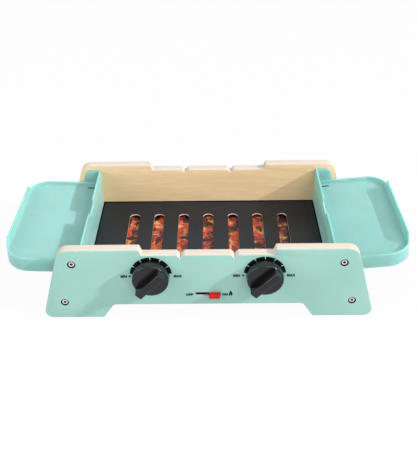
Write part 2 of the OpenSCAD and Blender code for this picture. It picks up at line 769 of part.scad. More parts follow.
module click_bush(side) {
    color("white") at_knob(side) difference() {
        union() {
            translate([0, 0, -bush_end]) cylinder(h = bush_end + bush_flange_t, r = bush_r);
            cylinder(h = bush_flange_t, r = bush_flange_r);
        }
        translate([0, 0, -bush_end - over])
            cylinder(h = bush_end + bush_flange_t + 2 * over, r = shaft_r + run);
        for (i = [0 : click_n - 1]) rotate([0, 0, i * 360 / click_n])
            translate([bush_flange_r + 0.3, 0, -over]) cylinder(h = bush_flange_t + 2 * over, r = click_r);
    }
}
module knob_washer(side) {
    color("silver") at_knob(side) translate([0, 0, -shaft_end - washer_t]) difference() {
        cylinder(h = washer_t, r = washer_r);
        translate([0, 0, -over]) cylinder(h = washer_t + 2 * over, r = knob_screw_r + 0.2);
    }
}
module knob_screw(side) {
    color("silver") at_knob(side) translate([0, 0, -shaft_end - washer_t]) {
        translate([0, 0, -knob_screw_head_t]) cylinder(h = knob_screw_head_t, r = knob_screw_head_r);
        translate([0, 0, -lap]) cylinder(h = washer_t + shaft_end + 2 + lap, r = knob_screw_r);
    }
}
module left_knob() { knob(-1); }
module right_knob() { knob(1); }
module left_click_bush() { click_bush(-1); }
module right_click_bush() { click_bush(1); }
module left_knob_washer() { knob_washer(-1); }
module right_knob_washer() { knob_washer(1); }
module left_knob_screw() { knob_screw(-1); }
module right_knob_screw() { knob_screw(1); }

// Bolts and inserts
module bolts() {
    head_y = -outer_y + bolt_recess;
    at_bolts() difference() {
        union() {
            rod(0, 0, head_y, head_y + bolt_head_t, bolt_head_r);
            rod(0, 0, head_y + bolt_head_t - lap, -spigot_y + insert_l - slack, bolt_r);
        }
        translate([0, head_y + bolt_head_t * 0.7, 0]) rotate([90, 0, 0])
            cylinder(h = bolt_head_t, r = socket_r, $fn = 6);
    }
}
module front_bolts() { color("goldenrod") placed() bolts(); }
module back_bolts() { color("goldenrod") placed() back_of() bolts(); }
module thread_inserts() {
    color("gold") placed() for (s = [0, 1]) mirror([0, s, 0]) at_bolts() difference() {
        rod(0, 0, -spigot_y, -spigot_y + insert_l - fit, insert_r);
        rod(0, 0, -spigot_y - over, -inner_y + flange_t + over, bolt_r + fit);
    }
}

front_panel();
back_panel();
left_side_frame();
right_side_frame();
left_tray();
right_tray();
griddle_plate();
ember_sheet();
light_tub();
tub_screws();
plate_screws();
led_board();
leds();
led_board_screws();
battery_door();
battery_door_screw();
battery_cells();
battery_contacts();
battery_leads();
switch_leads();
switch_body();
switch_cap();
switch_screws();
left_knob();
right_knob();
left_click_bush();
right_click_bush();
left_knob_washer();
right_knob_washer();
left_knob_screw();
right_knob_screw();
front_bolts();
back_bolts();
thread_inserts();
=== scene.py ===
# %% [markdown]
# # A toy griddle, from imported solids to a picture
# The solids that were packed from the part's source are the frame: they give every piece its place and
# its way of moving. This lesson dresses them. Plain pieces keep their solid and get a finish. Pieces whose
# edges catch the light are built again here, in the same place, with the soft edges that the real ones have.

# %% Load the frame
import math
import bmesh
import bpy
from mathutils import Matrix, Vector


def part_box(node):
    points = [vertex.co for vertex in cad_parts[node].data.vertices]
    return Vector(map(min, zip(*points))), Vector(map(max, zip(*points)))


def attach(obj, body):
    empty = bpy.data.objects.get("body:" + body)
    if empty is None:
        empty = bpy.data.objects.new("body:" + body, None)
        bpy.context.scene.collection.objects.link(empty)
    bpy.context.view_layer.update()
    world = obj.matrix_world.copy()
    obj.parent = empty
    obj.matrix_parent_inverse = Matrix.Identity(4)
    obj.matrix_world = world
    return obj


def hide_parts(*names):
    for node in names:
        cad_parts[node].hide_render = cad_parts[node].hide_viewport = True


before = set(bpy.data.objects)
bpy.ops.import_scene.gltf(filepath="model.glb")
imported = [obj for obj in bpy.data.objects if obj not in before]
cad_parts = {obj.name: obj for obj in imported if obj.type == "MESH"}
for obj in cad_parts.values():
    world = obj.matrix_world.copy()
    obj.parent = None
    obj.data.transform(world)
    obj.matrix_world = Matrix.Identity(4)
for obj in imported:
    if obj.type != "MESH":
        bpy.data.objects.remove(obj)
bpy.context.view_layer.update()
scene = bpy.context.scene
MM = 0.001

# %% [markdown]
# ## The camera
# The picture was taken from above the front, a little over arm's length away. The lens, the place and the
# three angles come from lining up the panels' straight edges and corners. A matrix with the camera's own
# right, up and back directions as columns sets all three angles at once, with no order of turns to get wrong.

# %% Camera
CAMERA_AT = Vector((7.05, -717.5, 541.8)) * MM
PITCH, YAW, ROLL = (math.radians(a) for a in (33.857, -0.517, -0.761))
LENS_PIXELS, PICTURE_HEIGHT, SENSOR, NEAREST = 716.5, 459, 36.0, 0.01

ahead = Vector((math.sin(YAW) * math.cos(PITCH), math.cos(YAW) * math.cos(PITCH), -math.sin(PITCH)))
level = Vector((math.cos(YAW), -math.sin(YAW), 0))
rise = level.cross(ahead)
right = level * math.cos(ROLL) + rise * math.sin(ROLL)
up = rise * math.cos(ROLL) - level * math.sin(ROLL)

camera = bpy.data.objects.new("camera", bpy.data.cameras.new("camera"))
scene.collection.objects.link(camera)
camera.data.sensor_width = SENSOR
camera.data.lens = SENSOR * LENS_PIXELS / PICTURE_HEIGHT
camera.data.clip_start = NEAREST
camera.matrix_world = Matrix.Translation(CAMERA_AT) @ Matrix((right, up, -ahead)).transposed().to_4x4()
scene.camera = camera
print("lens mm:", round(camera.data.lens, 2))

# %% [markdown]
# ## Helpers for node trees
# The sky, the finishes and the fasteners are all node trees, so the same few helpers serve them. In a call,
# a name in small letters is a setting of the node. A name with a capital is one of its inputs, with _ for a
# space. A number or a colour is set on the input, and another node's output is linked to it.

# %% Node helpers
SOCKET_KINDS = {tuple: "Vector", int: "Int", float: "Float"}


def feed(tree, node, *in_order, **by_name):
    """Sets or links a node's inputs, in their order or by name, and gives the node back."""
    pairs = list(zip(node.inputs, in_order))
    pairs += [(node.inputs[name.replace("_", " ")], source) for name, source in by_name.items()]
    for socket, source in pairs:
        if isinstance(source, bpy.types.NodeSocket):
            tree.links.new(source, socket)
        elif source is not None:
            socket.default_value = source
    return node


def add_node(tree, kind, *in_order, **named):
    """A new node with its settings and its inputs."""
    node = tree.nodes.new(kind)
    for name, value in named.items():
        if name[0].islower():
            setattr(node, name, value)
    return feed(tree, node, *in_order, **{name: v for name, v in named.items() if name[0].isupper()})


def result(tree, kind, *in_order, **named):
    """The first output of a new node."""
    return add_node(tree, kind, *in_order, **named).outputs[0]


def maths(tree, operation, *values):
    return result(tree, "ShaderNodeMath", *values, operation=operation)


def open_group(name, kind, inputs, outputs):
    """A node group with its sockets. An input is given as its first value, or as a word for its kind."""
    group = bpy.data.node_groups.new(name, kind)
    for label, value in inputs.items():
        word = value if isinstance(value, str) else SOCKET_KINDS[type(value)]
        socket = group.interface.new_socket(label, in_out="INPUT", socket_type="NodeSocket" + word)
        if word != value:
            socket.default_value = value
    for label, word in outputs.items():
        group.interface.new_socket(label, in_out="OUTPUT", socket_type="NodeSocket" + word)
    return group, add_node(group, "NodeGroupInput").outputs, add_node(group, "NodeGroupOutput")


def start_material(name, **inputs):
    """A material, its tree, its shader with some inputs set, and the place on the object."""
    material = bpy.data.materials.new(name)
    material.use_nodes = True
    tree = material.node_tree
    shader = feed(tree, tree.nodes["Principled BSDF"], **inputs)
    return material, tree, shader, add_node(tree, "ShaderNodeTexCoord").outputs["Object"]


# %% [markdown]
# ## Light
# The shadows in the well and on the trays fall to the left and a little back, with edges a few millimetres
# soft. One sun of a few degrees gives them. Three soft lamps open what it leaves dark: a wide one in front
# for the front panel, a wide one at the left for the sides in shade, and a small one above at the right.

# %% Lamps
KEY_WAY = Vector((-1.0, 0.30, -0.65))
KEY_POWER, KEY_ANGLE = 2.6, 3.5
AIM = Vector((0, 0, 0.05))
# Place in metres, power in watts, width in metres
SOFT_LAMPS = {
    "front": (Vector((0.9, -2.0, 1.6)), 24.0, 1.6),
    "left": (Vector((-2.2, -1.1, 1.5)), 37.0, 1.6),
    "top": (Vector((0.8, -0.05, 1.1)), 3.2, 0.8)}

scene.view_settings.view_transform = "Standard"


def add_lamp(name, kind, power, way, at=(0, 0, 1)):
    lamp = bpy.data.objects.new(name, bpy.data.lights.new(name, kind))
    lamp.data.energy = power
    lamp.location = at
    lamp.rotation_euler = way.to_track_quat("-Z", "Y").to_euler()
    scene.collection.objects.link(lamp)
    return lamp.data


add_lamp("key", "SUN", KEY_POWER, KEY_WAY).angle = math.radians(KEY_ANGLE)
for name, (at, power, width) in SOFT_LAMPS.items():
    add_lamp(name, "AREA", power, AIM - at, at).size = width

# %% [markdown]
# ## Sky and floor
# An even world fills the rest. The camera and reflections see the world as white, and the pale floor nearly
# so. The floor still takes a faint shadow: a mix with a little of its own lit grey does that.

# %% Sky and floor
WHITE = (1, 1, 1, 1)
AMBIENT = 0.4
SQUARE = ((-1, -1), (1, -1), (1, 1), (-1, 1))
FLOOR_HALF, FLOOR_DROP = 4.0, 0.2 * MM
FLOOR_GREY, FLOOR_ROUGH, FLOOR_SHINE, FLOOR_WHITE = (0.55, 0.55, 0.55, 1), 0.9, 0.1, 0.96


def seen_directly(tree):
    """1 for what the camera, a reflection or a clear piece sees, and 0 for light that only bounces."""
    ray = add_node(tree, "ShaderNodeLightPath").outputs
    seen = maths(tree, "MAXIMUM", ray["Is Camera Ray"], ray["Is Glossy Ray"])
    return maths(tree, "MAXIMUM", seen, ray["Is Transmission Ray"])


world = bpy.data.worlds.new("studio")
scene.world = world
world.use_nodes = True
sky = world.node_tree
even = feed(sky, sky.nodes["Background"], Color=WHITE, Strength=AMBIENT).outputs[0]
white = result(sky, "ShaderNodeBackground", Color=WHITE, Strength=1)
mixed = result(sky, "ShaderNodeMixShader", seen_directly(sky), even, white)
feed(sky, sky.nodes["World Output"], Surface=mixed)

floor_mesh = bpy.data.meshes.new("floor")
corners = [(x * FLOOR_HALF, y * FLOOR_HALF, -FLOOR_DROP) for x, y in SQUARE]
floor_mesh.from_pydata(corners, [], [(0, 1, 2, 3)])
floor = bpy.data.objects.new("floor", floor_mesh)
scene.collection.objects.link(floor)

floor_paper, tree, matt, place = start_material(
    "floor_paper", Base_Color=FLOOR_GREY, Roughness=FLOOR_ROUGH, Specular_IOR_Level=FLOOR_SHINE)
share = maths(tree, "MULTIPLY", seen_directly(tree), FLOOR_WHITE)
mixed = result(tree, "ShaderNodeMixShader", share, matt.outputs[0], result(tree, "ShaderNodeEmission"))
feed(tree, tree.nodes["Material Output"], Surface=mixed)
floor_mesh.materials.append(floor_paper)
print("sky and floor:", world.name, floor_paper.name)

# %% [markdown]
# ## Two effects that many finishes share
# Wood shows long streaks and finer fibres along one direction. Stretching the coordinates before a noise
# texture turns its blobs into streaks, so one group serves the painted face, the bare face and the board.
# Moulded plastic has a fine even grain and a barely visible cloudiness. A second group gives both.
# A group puts out only masks and heights. The shader itself stays in each material.

# %% Shared shader groups
def add_noise(tree, place, scale, detail=3.0, roughness=0.55):
    return result(tree, "ShaderNodeTexNoise", Vector=place, Scale=scale, Detail=detail, Roughness=roughness)


def add_range(tree, value, from_low, from_high, to_low=0.0, to_high=1.0, soft=False):
    return result(tree, "ShaderNodeMapRange", value, from_low, from_high, to_low, to_high,
                  interpolation_type="SMOOTHSTEP" if soft else "LINEAR")


wood_fibre, given, done = open_group(
    "wood_fibre", "ShaderNodeTree",
    {"Vector": (0.0, 0.0, 0.0), "Stretch": (9.0, 120.0, 260.0), "Fineness": 4.0},
    {"Streak": "Float", "Fibre": "Float", "Height": "Float"})
pulled = result(wood_fibre, "ShaderNodeVectorMath", given["Vector"], given["Stretch"], operation="MULTIPLY")
broad = add_noise(wood_fibre, pulled, 1.0, 4.0, 0.6)
narrow = add_noise(wood_fibre, pulled, given["Fineness"], 3.0, 0.65)
feed(wood_fibre, done, Streak=add_range(wood_fibre, broad, 0.32, 0.68, soft=True),
     Fibre=add_range(wood_fibre, narrow, 0.35, 0.65), Height=maths(wood_fibre, "ADD", broad, narrow))

moulded_skin, given, done = open_group(
    "moulded_skin", "ShaderNodeTree",
    {"Vector": (0.0, 0.0, 0.0), "Grain": 2600.0, "Cloud Size": 30.0}, {"Grain": "Float", "Cloud": "Float"})
fine_grain = add_noise(moulded_skin, given["Vector"], given["Grain"], 2.0)
soft_cloud = add_noise(moulded_skin, given["Vector"], given["Cloud Size"])
feed(moulded_skin, done, Grain=add_range(moulded_skin, fine_grain, 0.3, 0.7),
     Cloud=add_range(moulded_skin, soft_cloud, 0.3, 0.7, soft=True))
print("groups:", wood_fibre.name, moulded_skin.name)

# %% [markdown]
# ## Plastic and metal finishes
# Every moulded piece uses the same recipe with its own two colours, gloss and grain: the cloud moves the
# colour between two close shades, and the grain moves the roughness and gives a very shallow bump.
# Metals take the same recipe with Metallic set on the shader.

# %% Plastics and metals
def colour(r, g, b):
    """A colour written as it looks on a screen, 0 to 255, in the linear numbers that the shader takes."""
    parts = []
    for value in (r, g, b):
        share = value / 255
        parts.append(share / 12.92 if share <= 0.04045 else ((share + 0.055) / 1.055) ** 2.4)
    return (*parts, 1.0)


def add_group(tree, group, place, **values):
    return add_node(tree, "ShaderNodeGroup", node_tree=group, Vector=place, **values).outputs


def add_mix(tree, factor, first, second):
    """A mix of two colours. Their sockets come after those of the other kinds of mix."""
    return add_node(tree, "ShaderNodeMix", factor, *[None] * 5, first, second, data_type="RGBA").outputs[2]


def add_bump(tree, height, depth):
    """A bump of a depth in millimetres."""
    return result(tree, "ShaderNodeBump", Height=height, Distance=depth * MM, Strength=1.0)


def moulded(name, low, high, rough, grain=2600.0, depth=0.01, **fixed):
    material, tree, shader, place = start_material(name, **fixed)
    skin = add_group(tree, moulded_skin, place, Grain=grain)
    feed(tree, shader, Base_Color=add_mix(tree, skin["Cloud"], colour(*low), colour(*high)),
         Roughness=add_range(tree, skin["Grain"], 0, 1, rough - 0.04, rough + 0.05),
         Normal=add_bump(tree, skin["Grain"], depth))
    return material


mint_plastic = moulded("mint_plastic", (144, 190, 185), (148, 194, 190), 0.36, Specular_IOR_Level=0.15,
                       Subsurface_Weight=1.0, Subsurface_Radius=(0.18, 1.0, 0.85), Subsurface_Scale=6 * MM)
black_plastic = moulded("black_plastic", (3, 4, 8), (5, 6, 11), 0.2, 1900.0, Specular_IOR_Level=0.46)
red_plastic = moulded("red_plastic", (194, 6, 18), (202, 9, 24), 0.34, Specular_IOR_Level=0.3)
tub_plastic = moulded("tub_plastic", (36, 38, 40), (42, 44, 46), 0.5, 1500.0, 0.03, Specular_IOR_Level=0.3)
white_plastic = moulded("white_plastic", (216, 216, 208), (224, 224, 218), 0.45)
board_lacquer = moulded("board_lacquer", (24, 92, 48), (30, 104, 56), 0.35)
lamp_resin = moulded("lamp_resin", (240, 150, 60), (246, 160, 70), 0.2)
wire_sheath = moulded("wire_sheath", (120, 20, 22), (134, 26, 28), 0.5)
cell_jacket = moulded("cell_jacket", (170, 140, 60), (182, 152, 70), 0.35, Metallic=1.0)
dull_brass = moulded("dull_brass", (246, 238, 220), (252, 246, 230), 0.3, 1700.0, Metallic=1.0)
bright_steel = moulded("bright_steel", (176, 176, 174), (190, 190, 188), 0.33, 1700.0, Metallic=1.0)
# Flat black that paints shade: in bolt seats, deep in the switch slot, on the trays' relief-slot walls, round
# the bolt heads and along the plate's edges.
painted_shade_black = moulded("painted_shade_black", (4, 4, 4), (7, 7, 7), 0.7, Specular_IOR_Level=0.05)
ink_black = moulded("ink_black", (8, 12, 12), (14, 18, 18), 0.6, Specular_IOR_Level=0.1)
ink_pale = moulded("ink_pale", (206, 232, 226), (214, 238, 232), 0.5)
print("plastic and metal finishes, from", mint_plastic.name, "to", ink_pale.name)

# %% [markdown]
# ## Plywood
# The panels are plywood. Their outer face is painted, so the grain only shows as a very shallow bump. The
# edges and the inner face are bare: the edge shows the plies as faint bands, the face has fine level grain.

# %% Painted and bare plywood
PLY = 1.5 * MM

painted_wood, tree, shader, place = start_material("painted_wood", Coat_Weight=0.05)
fibre = add_group(tree, wood_fibre, place, Stretch=(14.0, 100.0, 330.0), Fineness=3.0)
skin = add_group(tree, moulded_skin, place, Grain=1300.0, Cloud_Size=14.0)
feed(tree, shader, Base_Color=add_mix(tree, skin["Cloud"], colour(147, 193, 182), colour(152, 198, 188)),
     Roughness=add_range(tree, skin["Grain"], 0, 1, 0.42, 0.52), Normal=add_bump(tree, fibre["Height"], 0.03))

bare_edge, tree, shader, place = start_material("bare_edge", Specular_IOR_Level=0.3, Roughness=0.62)
fibre = add_group(tree, wood_fibre, place, Stretch=(60.0, 700.0, 60.0), Fineness=3.0)
through = add_node(tree, "ShaderNodeSeparateXYZ", place).outputs["Y"]
wave = maths(tree, "SINE", maths(tree, "MULTIPLY", through, math.pi / PLY))
bands = add_mix(tree, add_range(tree, wave, -0.3, 0.3, soft=True),
                colour(212, 201, 188), colour(219, 208, 196))
streaks = add_range(tree, fibre["Streak"], 0, 1, 0, 0.35)
feed(tree, shader, Base_Color=add_mix(tree, streaks, bands, colour(204, 188, 167)),
     Normal=add_bump(tree, fibre["Height"], 0.05))

bare_face, tree, shader, place = start_material("bare_face", Specular_IOR_Level=0.3)
fibre = add_group(tree, wood_fibre, place, Stretch=(16.0, 60.0, 420.0), Fineness=2.5)
streaks = add_mix(tree, fibre["Streak"], colour(236, 205, 162), colour(245, 216, 174))
fibres = add_range(tree, fibre["Fibre"], 0, 1, 0, 0.6)
feed(tree, shader, Base_Color=add_mix(tree, fibres, streaks, colour(223, 189, 141)),
     Roughness=add_range(tree, fibre["Fibre"], 0, 1, 0.5, 0.66), Normal=add_bump(tree, fibre["Height"], 0.06))
print("plywood finishes:", painted_wood.name, bare_edge.name, bare_face.name)

# %% [markdown]
# ## The plate's board
# The griddle plate is a dark coated board with a pale layer under its top, which shows where the slots were
# cut. The way a surface faces tells coat and cut apart. On the cut, its height tells the pale layer from the
# near-black below it, which is painted shade.

# %% Plate board
LAYER_DEEP, LAYER_FADE = 1.5 * MM, 0.2 * MM
layer_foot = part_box("griddle_plate")[1].z - LAYER_DEEP

plate_board, tree, shader, place = start_material("plate_board", Specular_IOR_Level=0.22)
skin = add_group(tree, moulded_skin, place, Grain=900.0, Cloud_Size=22.0)
fibre = add_group(tree, wood_fibre, place, Stretch=(300.0, 300.0, 1500.0), Fineness=2.0)
normal = add_node(tree, "ShaderNodeNewGeometry").outputs["True Normal"]
facing_up = add_node(tree, "ShaderNodeSeparateXYZ", normal).outputs["Z"]
coat = add_range(tree, maths(tree, "ABSOLUTE", facing_up), 0.4, 0.6)
height = add_node(tree, "ShaderNodeSeparateXYZ", place).outputs["Z"]
layer = add_mix(tree, fibre["Streak"], colour(214, 200, 178), colour(228, 216, 196))
is_layer = add_range(tree, height, layer_foot, layer_foot + LAYER_FADE)
# Below the pale layer the cut is near black: painted shade.
cut = add_mix(tree, is_layer, colour(12, 11, 11), layer)
top = add_mix(tree, skin["Cloud"], colour(24, 29, 37), colour(28, 33, 41))
feed(tree, shader, Base_Color=add_mix(tree, coat, cut, top),
     Roughness=add_range(tree, skin["Grain"], 0, 1, 0.26, 0.34), Normal=add_bump(tree, skin["Grain"], 0.01))
print("board finish:", plate_board.name)

# %% [markdown]
# ## Embers
# The ember sheet is this lesson's own pattern: lumps from a Voronoi texture, each with its own heat, and
# bright seams between some of them. A noise bends the coordinates first, so that no lump has straight sides.

# %% Ember print
LUMPS, DRIFTS, DRIFT_FAR, ASH, FIRES = 88.0, 70.0, 0.014, 190.0, 75.0
SEAM_WIDE, SEAM_STRONG, SEAM_TINT = 0.16, 0.9, (255, 202, 128)
HEAT_TINTS = ((0.16, (14, 6, 8)), (0.34, (64, 22, 26)), (0.46, (136, 60, 72)),
              (0.60, (206, 74, 26)), (0.80, (226, 112, 74)), (0.96, (255, 204, 140)))

ember_print, tree, shader, place = start_material("ember_print", Roughness=0.45)
drift = add_node(tree, "ShaderNodeTexNoise", Vector=place, Scale=DRIFTS).outputs["Color"]
pull = result(tree, "ShaderNodeVectorMath", drift, operation="SCALE", Scale=DRIFT_FAR)
bent = result(tree, "ShaderNodeVectorMath", place, pull, operation="ADD")
lump = add_node(tree, "ShaderNodeTexVoronoi", Vector=bent, Scale=LUMPS).outputs["Color"]
seam = add_node(tree, "ShaderNodeTexVoronoi", feature="DISTANCE_TO_EDGE", Vector=bent, Scale=LUMPS)
warmth = add_range(tree, result(tree, "ShaderNodeSeparateColor", lump), 0, 1, 0.0, 0.62)
ash = add_noise(tree, bent, ASH)
heat = maths(tree, "ADD", warmth, add_range(tree, ash, 0.3, 0.7, -0.02, 0.42))
glowing = add_node(tree, "ShaderNodeValToRGB", heat)
stops = glowing.color_ramp.elements
stops.remove(stops[1])
stops[0].position = HEAT_TINTS[0][0]
stops[0].color = colour(*HEAT_TINTS[0][1])
for where, tint in HEAT_TINTS[1:]:
    stops.new(where).color = colour(*tint)
seams = add_range(tree, seam.outputs["Distance"], 0.0, SEAM_WIDE, SEAM_STRONG, 0.0, soft=True)
fire = maths(tree, "MULTIPLY", seams, add_range(tree, add_noise(tree, place, FIRES), 0.5, 0.64, soft=True))
feed(tree, shader, Base_Color=add_mix(tree, fire, glowing.outputs[0], colour(*SEAM_TINT)),
     Normal=add_bump(tree, ash, 0.02))
print("ember finish:", ember_print.name)

# %% [markdown]
# ## Outlines
# Most pieces here are an outline with rounded corners, given a thickness and a soft edge. An outline is a
# list of corners, each with its own radius. Moving it inwards shrinks the radius of outside corners and grows
# that of inside ones, so a stack of outlines, each a little further in, makes an even round-over. A Bevel
# modifier could do it too, but it breaks where a corner is tighter than the round-over.

# %% Outline tools
ARC_STEPS = 10


def rounded(corners, steps=ARC_STEPS):
    """Points round an outline whose corners are (across, up, radius)."""
    points = []
    for i, corner in enumerate(corners):
        here = Vector(corner[:2])
        back = (Vector(corners[i - 1][:2]) - here).normalized()
        on = (Vector(corners[(i + 1) % len(corners)][:2]) - here).normalized()
        spread = back.angle(on) / 2
        middle = here + (back + on).normalized() * corner[2] / math.sin(spread)
        first = here + back * corner[2] / math.tan(spread) - middle
        last = here + on * corner[2] / math.tan(spread) - middle
        start = math.atan2(first.y, first.x)
        turn = (math.atan2(last.y, last.x) - start + 3 * math.pi) % (2 * math.pi) - math.pi
        for k in range(steps + 1):
            angle = start + turn * k / steps
            points.append((middle.x + corner[2] * math.cos(angle), middle.y + corner[2] * math.sin(angle)))
    return points


def moved_in(corners, by):
    """The same outline, moved in by a distance."""
    area = sum(a[0] * b[1] - b[0] * a[1] for a, b in zip(corners, corners[1:] + corners[:1]))
    hand = 1 if area > 0 else -1
    moved = []
    for i, corner in enumerate(corners):
        here = Vector(corner[:2])
        before = (here - Vector(corners[i - 1][:2])).normalized()
        after = (Vector(corners[(i + 1) % len(corners)][:2]) - here).normalized()
        inward_1 = hand * Vector((-before.y, before.x))
        inward_2 = hand * Vector((-after.y, after.x))
        spot = here + (inward_1 + inward_2) * by / (1 + inward_1.dot(inward_2))
        outside = hand * before.cross(after) > 0
        radius = max(corner[2] - by, 0.0) if outside else corner[2] + by
        moved.append((spot.x, spot.y, radius))
    return moved


def both_sides(corners):
    return corners + [(-x, z, r) for x, z, r in reversed(corners)]


def quarter(steps):
    """A quarter round of radius 1 in a corner, from its foot to its side: (how far in, how far up)."""
    angles = [math.pi / 2 * k / steps for k in range(steps + 1)]
    return [(1 - math.sin(a), 1 - math.cos(a)) for a in angles]


def round_over(low, high, radius, steps=4):
    """Pairs of (how far in, how high) for a slab from low to high with both its edges rounded."""
    first = [(radius * u, low + radius * v) for u, v in quarter(steps)]
    return first + [(inset, high + low - level) for inset, level in reversed(first)]


# %% [markdown]
# ## Shells
# A shell is a list of points, in millimetres, and a list of faces between them. Stacks of outlines, turned
# shapes and plain boxes are enough for this object. A turned shape stands on its own Z until it is placed.

# %% Shell tools
def stack(rings, closed=True):
    """A shell through a stack of rings with the same number of points."""
    count = len(rings[0])
    points = [p for ring in rings for p in ring]
    faces = []
    for i in range(len(rings) - 1):
        for k in range(count if closed else count - 1):
            n = (k + 1) % count
            faces.append((i * count + k, i * count + n, (i + 1) * count + n, (i + 1) * count + k))
    faces.append(tuple(range(count)))
    faces.append(tuple((len(rings) - 1) * count + k for k in range(count)))
    return points, faces


def slab(outline, low, high, edge, place, arc_steps=ARC_STEPS, edge_steps=4):
    """An outline carried from low to high with both edges rounded over. A place takes (across, up, along)."""
    return stack([[place(a, b, along) for a, b in rounded(moved_in(outline, inset), arc_steps)]
                  for inset, along in round_over(low, high, edge, edge_steps)])


def turned(profile, steps):
    """A shell turned about its own Z, from (radius, height) pairs that start and end at radius 0."""
    points, faces, rows = [], [], []
    for radius, height in profile:
        around = steps if radius > 0 else 1
        rows.append([len(points) + k for k in range(around)])
        for k in range(around):
            angle = 2 * math.pi * k / steps
            points.append((radius * math.cos(angle), radius * math.sin(angle), height))
    for low, high in zip(rows, rows[1:]):
        for k in range(steps):
            n = (k + 1) % steps
            corners = [low[k % len(low)], low[n % len(low)], high[n % len(high)], high[k % len(high)]]
            faces.append(tuple(dict.fromkeys(corners)))
    return points, [f for f in faces if len(f) > 2]


def rod(*lengths, steps=40):
    """A round rod about its own Z, in lengths of (radius, low, high)."""
    side = [(radius, height) for radius, low, high in lengths for height in (low, high)]
    return turned([(0, side[0][1]), *side, (0, side[-1][1])], steps)


def crate(corner, far_corner):
    """A plain box between two opposite corners."""
    x, y, z = (sorted(pair) for pair in zip(corner, far_corner))
    points = [(a, b, c) for a in x for b in y for c in z]
    return points, [(0, 1, 3, 2), (4, 6, 7, 5), (0, 4, 5, 1), (2, 3, 7, 6), (0, 2, 6, 4), (1, 5, 7, 3)]


def along_y(x, z, y, way):
    """A place for a turned shape: its foot at y, its top towards way."""
    return lambda u, v, w: (x + u, y + way * w, z + v * -way)


def placed(shell, place):
    return [place(*p) for p in shell[0]], shell[1]


# %% [markdown]
# ## From shells to pieces
# Here shells become an object, and booleans cut others from it or join them on. A finished piece is a plain
# mesh with no modifiers. It gets its finishes, rides on its body and hides the solids it stands for.

# %% Piece tools
DOUBLE = 0.001 * MM


def add_shell(whole, points, faces):
    """Adds one closed shell to a mesh in metres, with doubles merged and faces pointing out."""
    mesh = bpy.data.meshes.new("shell")
    mesh.from_pydata([Vector(p) * MM for p in points], [], faces)
    shell = bmesh.new()
    shell.from_mesh(mesh)
    bmesh.ops.remove_doubles(shell, verts=shell.verts, dist=DOUBLE)
    bmesh.ops.dissolve_degenerate(shell, edges=shell.edges, dist=DOUBLE)
    bmesh.ops.recalc_face_normals(shell, faces=shell.faces)
    if shell.calc_volume(signed=True) < 0:
        bmesh.ops.reverse_faces(shell, faces=shell.faces)
    shell.to_mesh(mesh)
    shell.free()
    whole.from_mesh(mesh)
    bpy.data.meshes.remove(mesh)


def make_piece(name, *shells):
    """One object from closed shells."""
    whole = bmesh.new()
    for points, faces in shells:
        add_shell(whole, points, faces)
    mesh = bpy.data.meshes.new(name)
    whole.to_mesh(mesh)
    whole.free()
    piece = bpy.data.objects.new(name, mesh)
    scene.collection.objects.link(piece)
    return piece


def settle(piece):
    """Makes what the modifiers show the piece's own mesh, and removes them."""
    shown = piece.evaluated_get(bpy.context.evaluated_depsgraph_get())
    mesh = bpy.data.meshes.new_from_object(shown)
    piece.modifiers.clear()
    piece.data = mesh
    mesh.name = piece.name
    return piece


def combine(piece, operation, *shells):
    """Cuts shells from a piece, or joins them on."""
    other = make_piece("other", *shells)
    knife = piece.modifiers.new("combine", "BOOLEAN")
    knife.operation = operation
    knife.solver = "EXACT"
    knife.object = other
    settle(piece)
    bpy.data.objects.remove(other)


def smooth(piece, angle=38.0, flat_area=30.0):
    """Smooth shading across soft edges. Large flat faces stay flat, and don't pick up the edge's bend."""
    mesh = piece.data
    for face in mesh.polygons:
        face.use_smooth = face.area < flat_area * MM * MM
    mesh.set_sharp_from_angle(angle=math.radians(angle))


def dress(piece, body, slot, nodes, *materials):
    """Gives a piece finishes by its faces' numbers, puts it on its body and hides the solids it stands for.
    With none named, it keeps those it has.
    """
    if materials:
        index = [min(face.material_index, len(materials) - 1) for face in piece.data.polygons]
        piece.data.materials.clear()
        for material in materials:
            piece.data.materials.append(material)
        piece.data.polygons.foreach_set("material_index", index)
    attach(piece, body)
    if nodes:
        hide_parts(*nodes)
    print(piece.name, "faces:", len(piece.data.polygons))


# %% [markdown]
# ## The two panels
# Each panel is a 12 mm plywood board with feet, a lowered middle and V rests along its top. Its edges are
# rounded over by hand-sanding. The outline is stacked through the thickness, then the bolt holes, and at the
# front the knobs' holes and the switch's slot, are cut out. After the cuts, the way each face looks tells
# which finish it gets: paint on the outer face, veneer on the inner one, painted shade in flat black in the
# bolt seats and deep in the switch slot, bare plies everywhere else.

# %% Panels
PANEL_TOP, MIDDLE_TOP, STEP_X, STEP_LEAN = 93.5, 86.5, 74.6, 2.4
REST_X, REST_HALF, REST_DEEP = 29.5, 4.3, 4.4
SHOULDER_X, FOOT_X, FOOT_IN_X, ARCH_X, ARCH_TOP = 163.3, 189.3, 119.5, 107.5, 18.4
PANEL_OUTLINE = both_sides([
    (REST_X - REST_HALF, MIDDLE_TOP, 0.8), (REST_X, MIDDLE_TOP - REST_DEEP, 0.6),
    (REST_X + REST_HALF, MIDDLE_TOP, 0.8), (STEP_X - STEP_LEAN, MIDDLE_TOP, 2.0), (STEP_X, PANEL_TOP, 2.0),
    (SHOULDER_X, PANEL_TOP, 14.0), (FOOT_X, 0.0, 9.0), (FOOT_IN_X, 0.0, 1.5), (ARCH_X, ARCH_TOP, 7.0)])
PANEL_ROUND = 0.9
FRONT_Y, FRONT_IN_Y = (corner.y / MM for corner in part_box("front_panel"))
BACK_IN_Y, BACK_Y = (corner.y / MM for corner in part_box("back_panel"))
BAY_Y = (FRONT_IN_Y + BACK_IN_Y) / 2
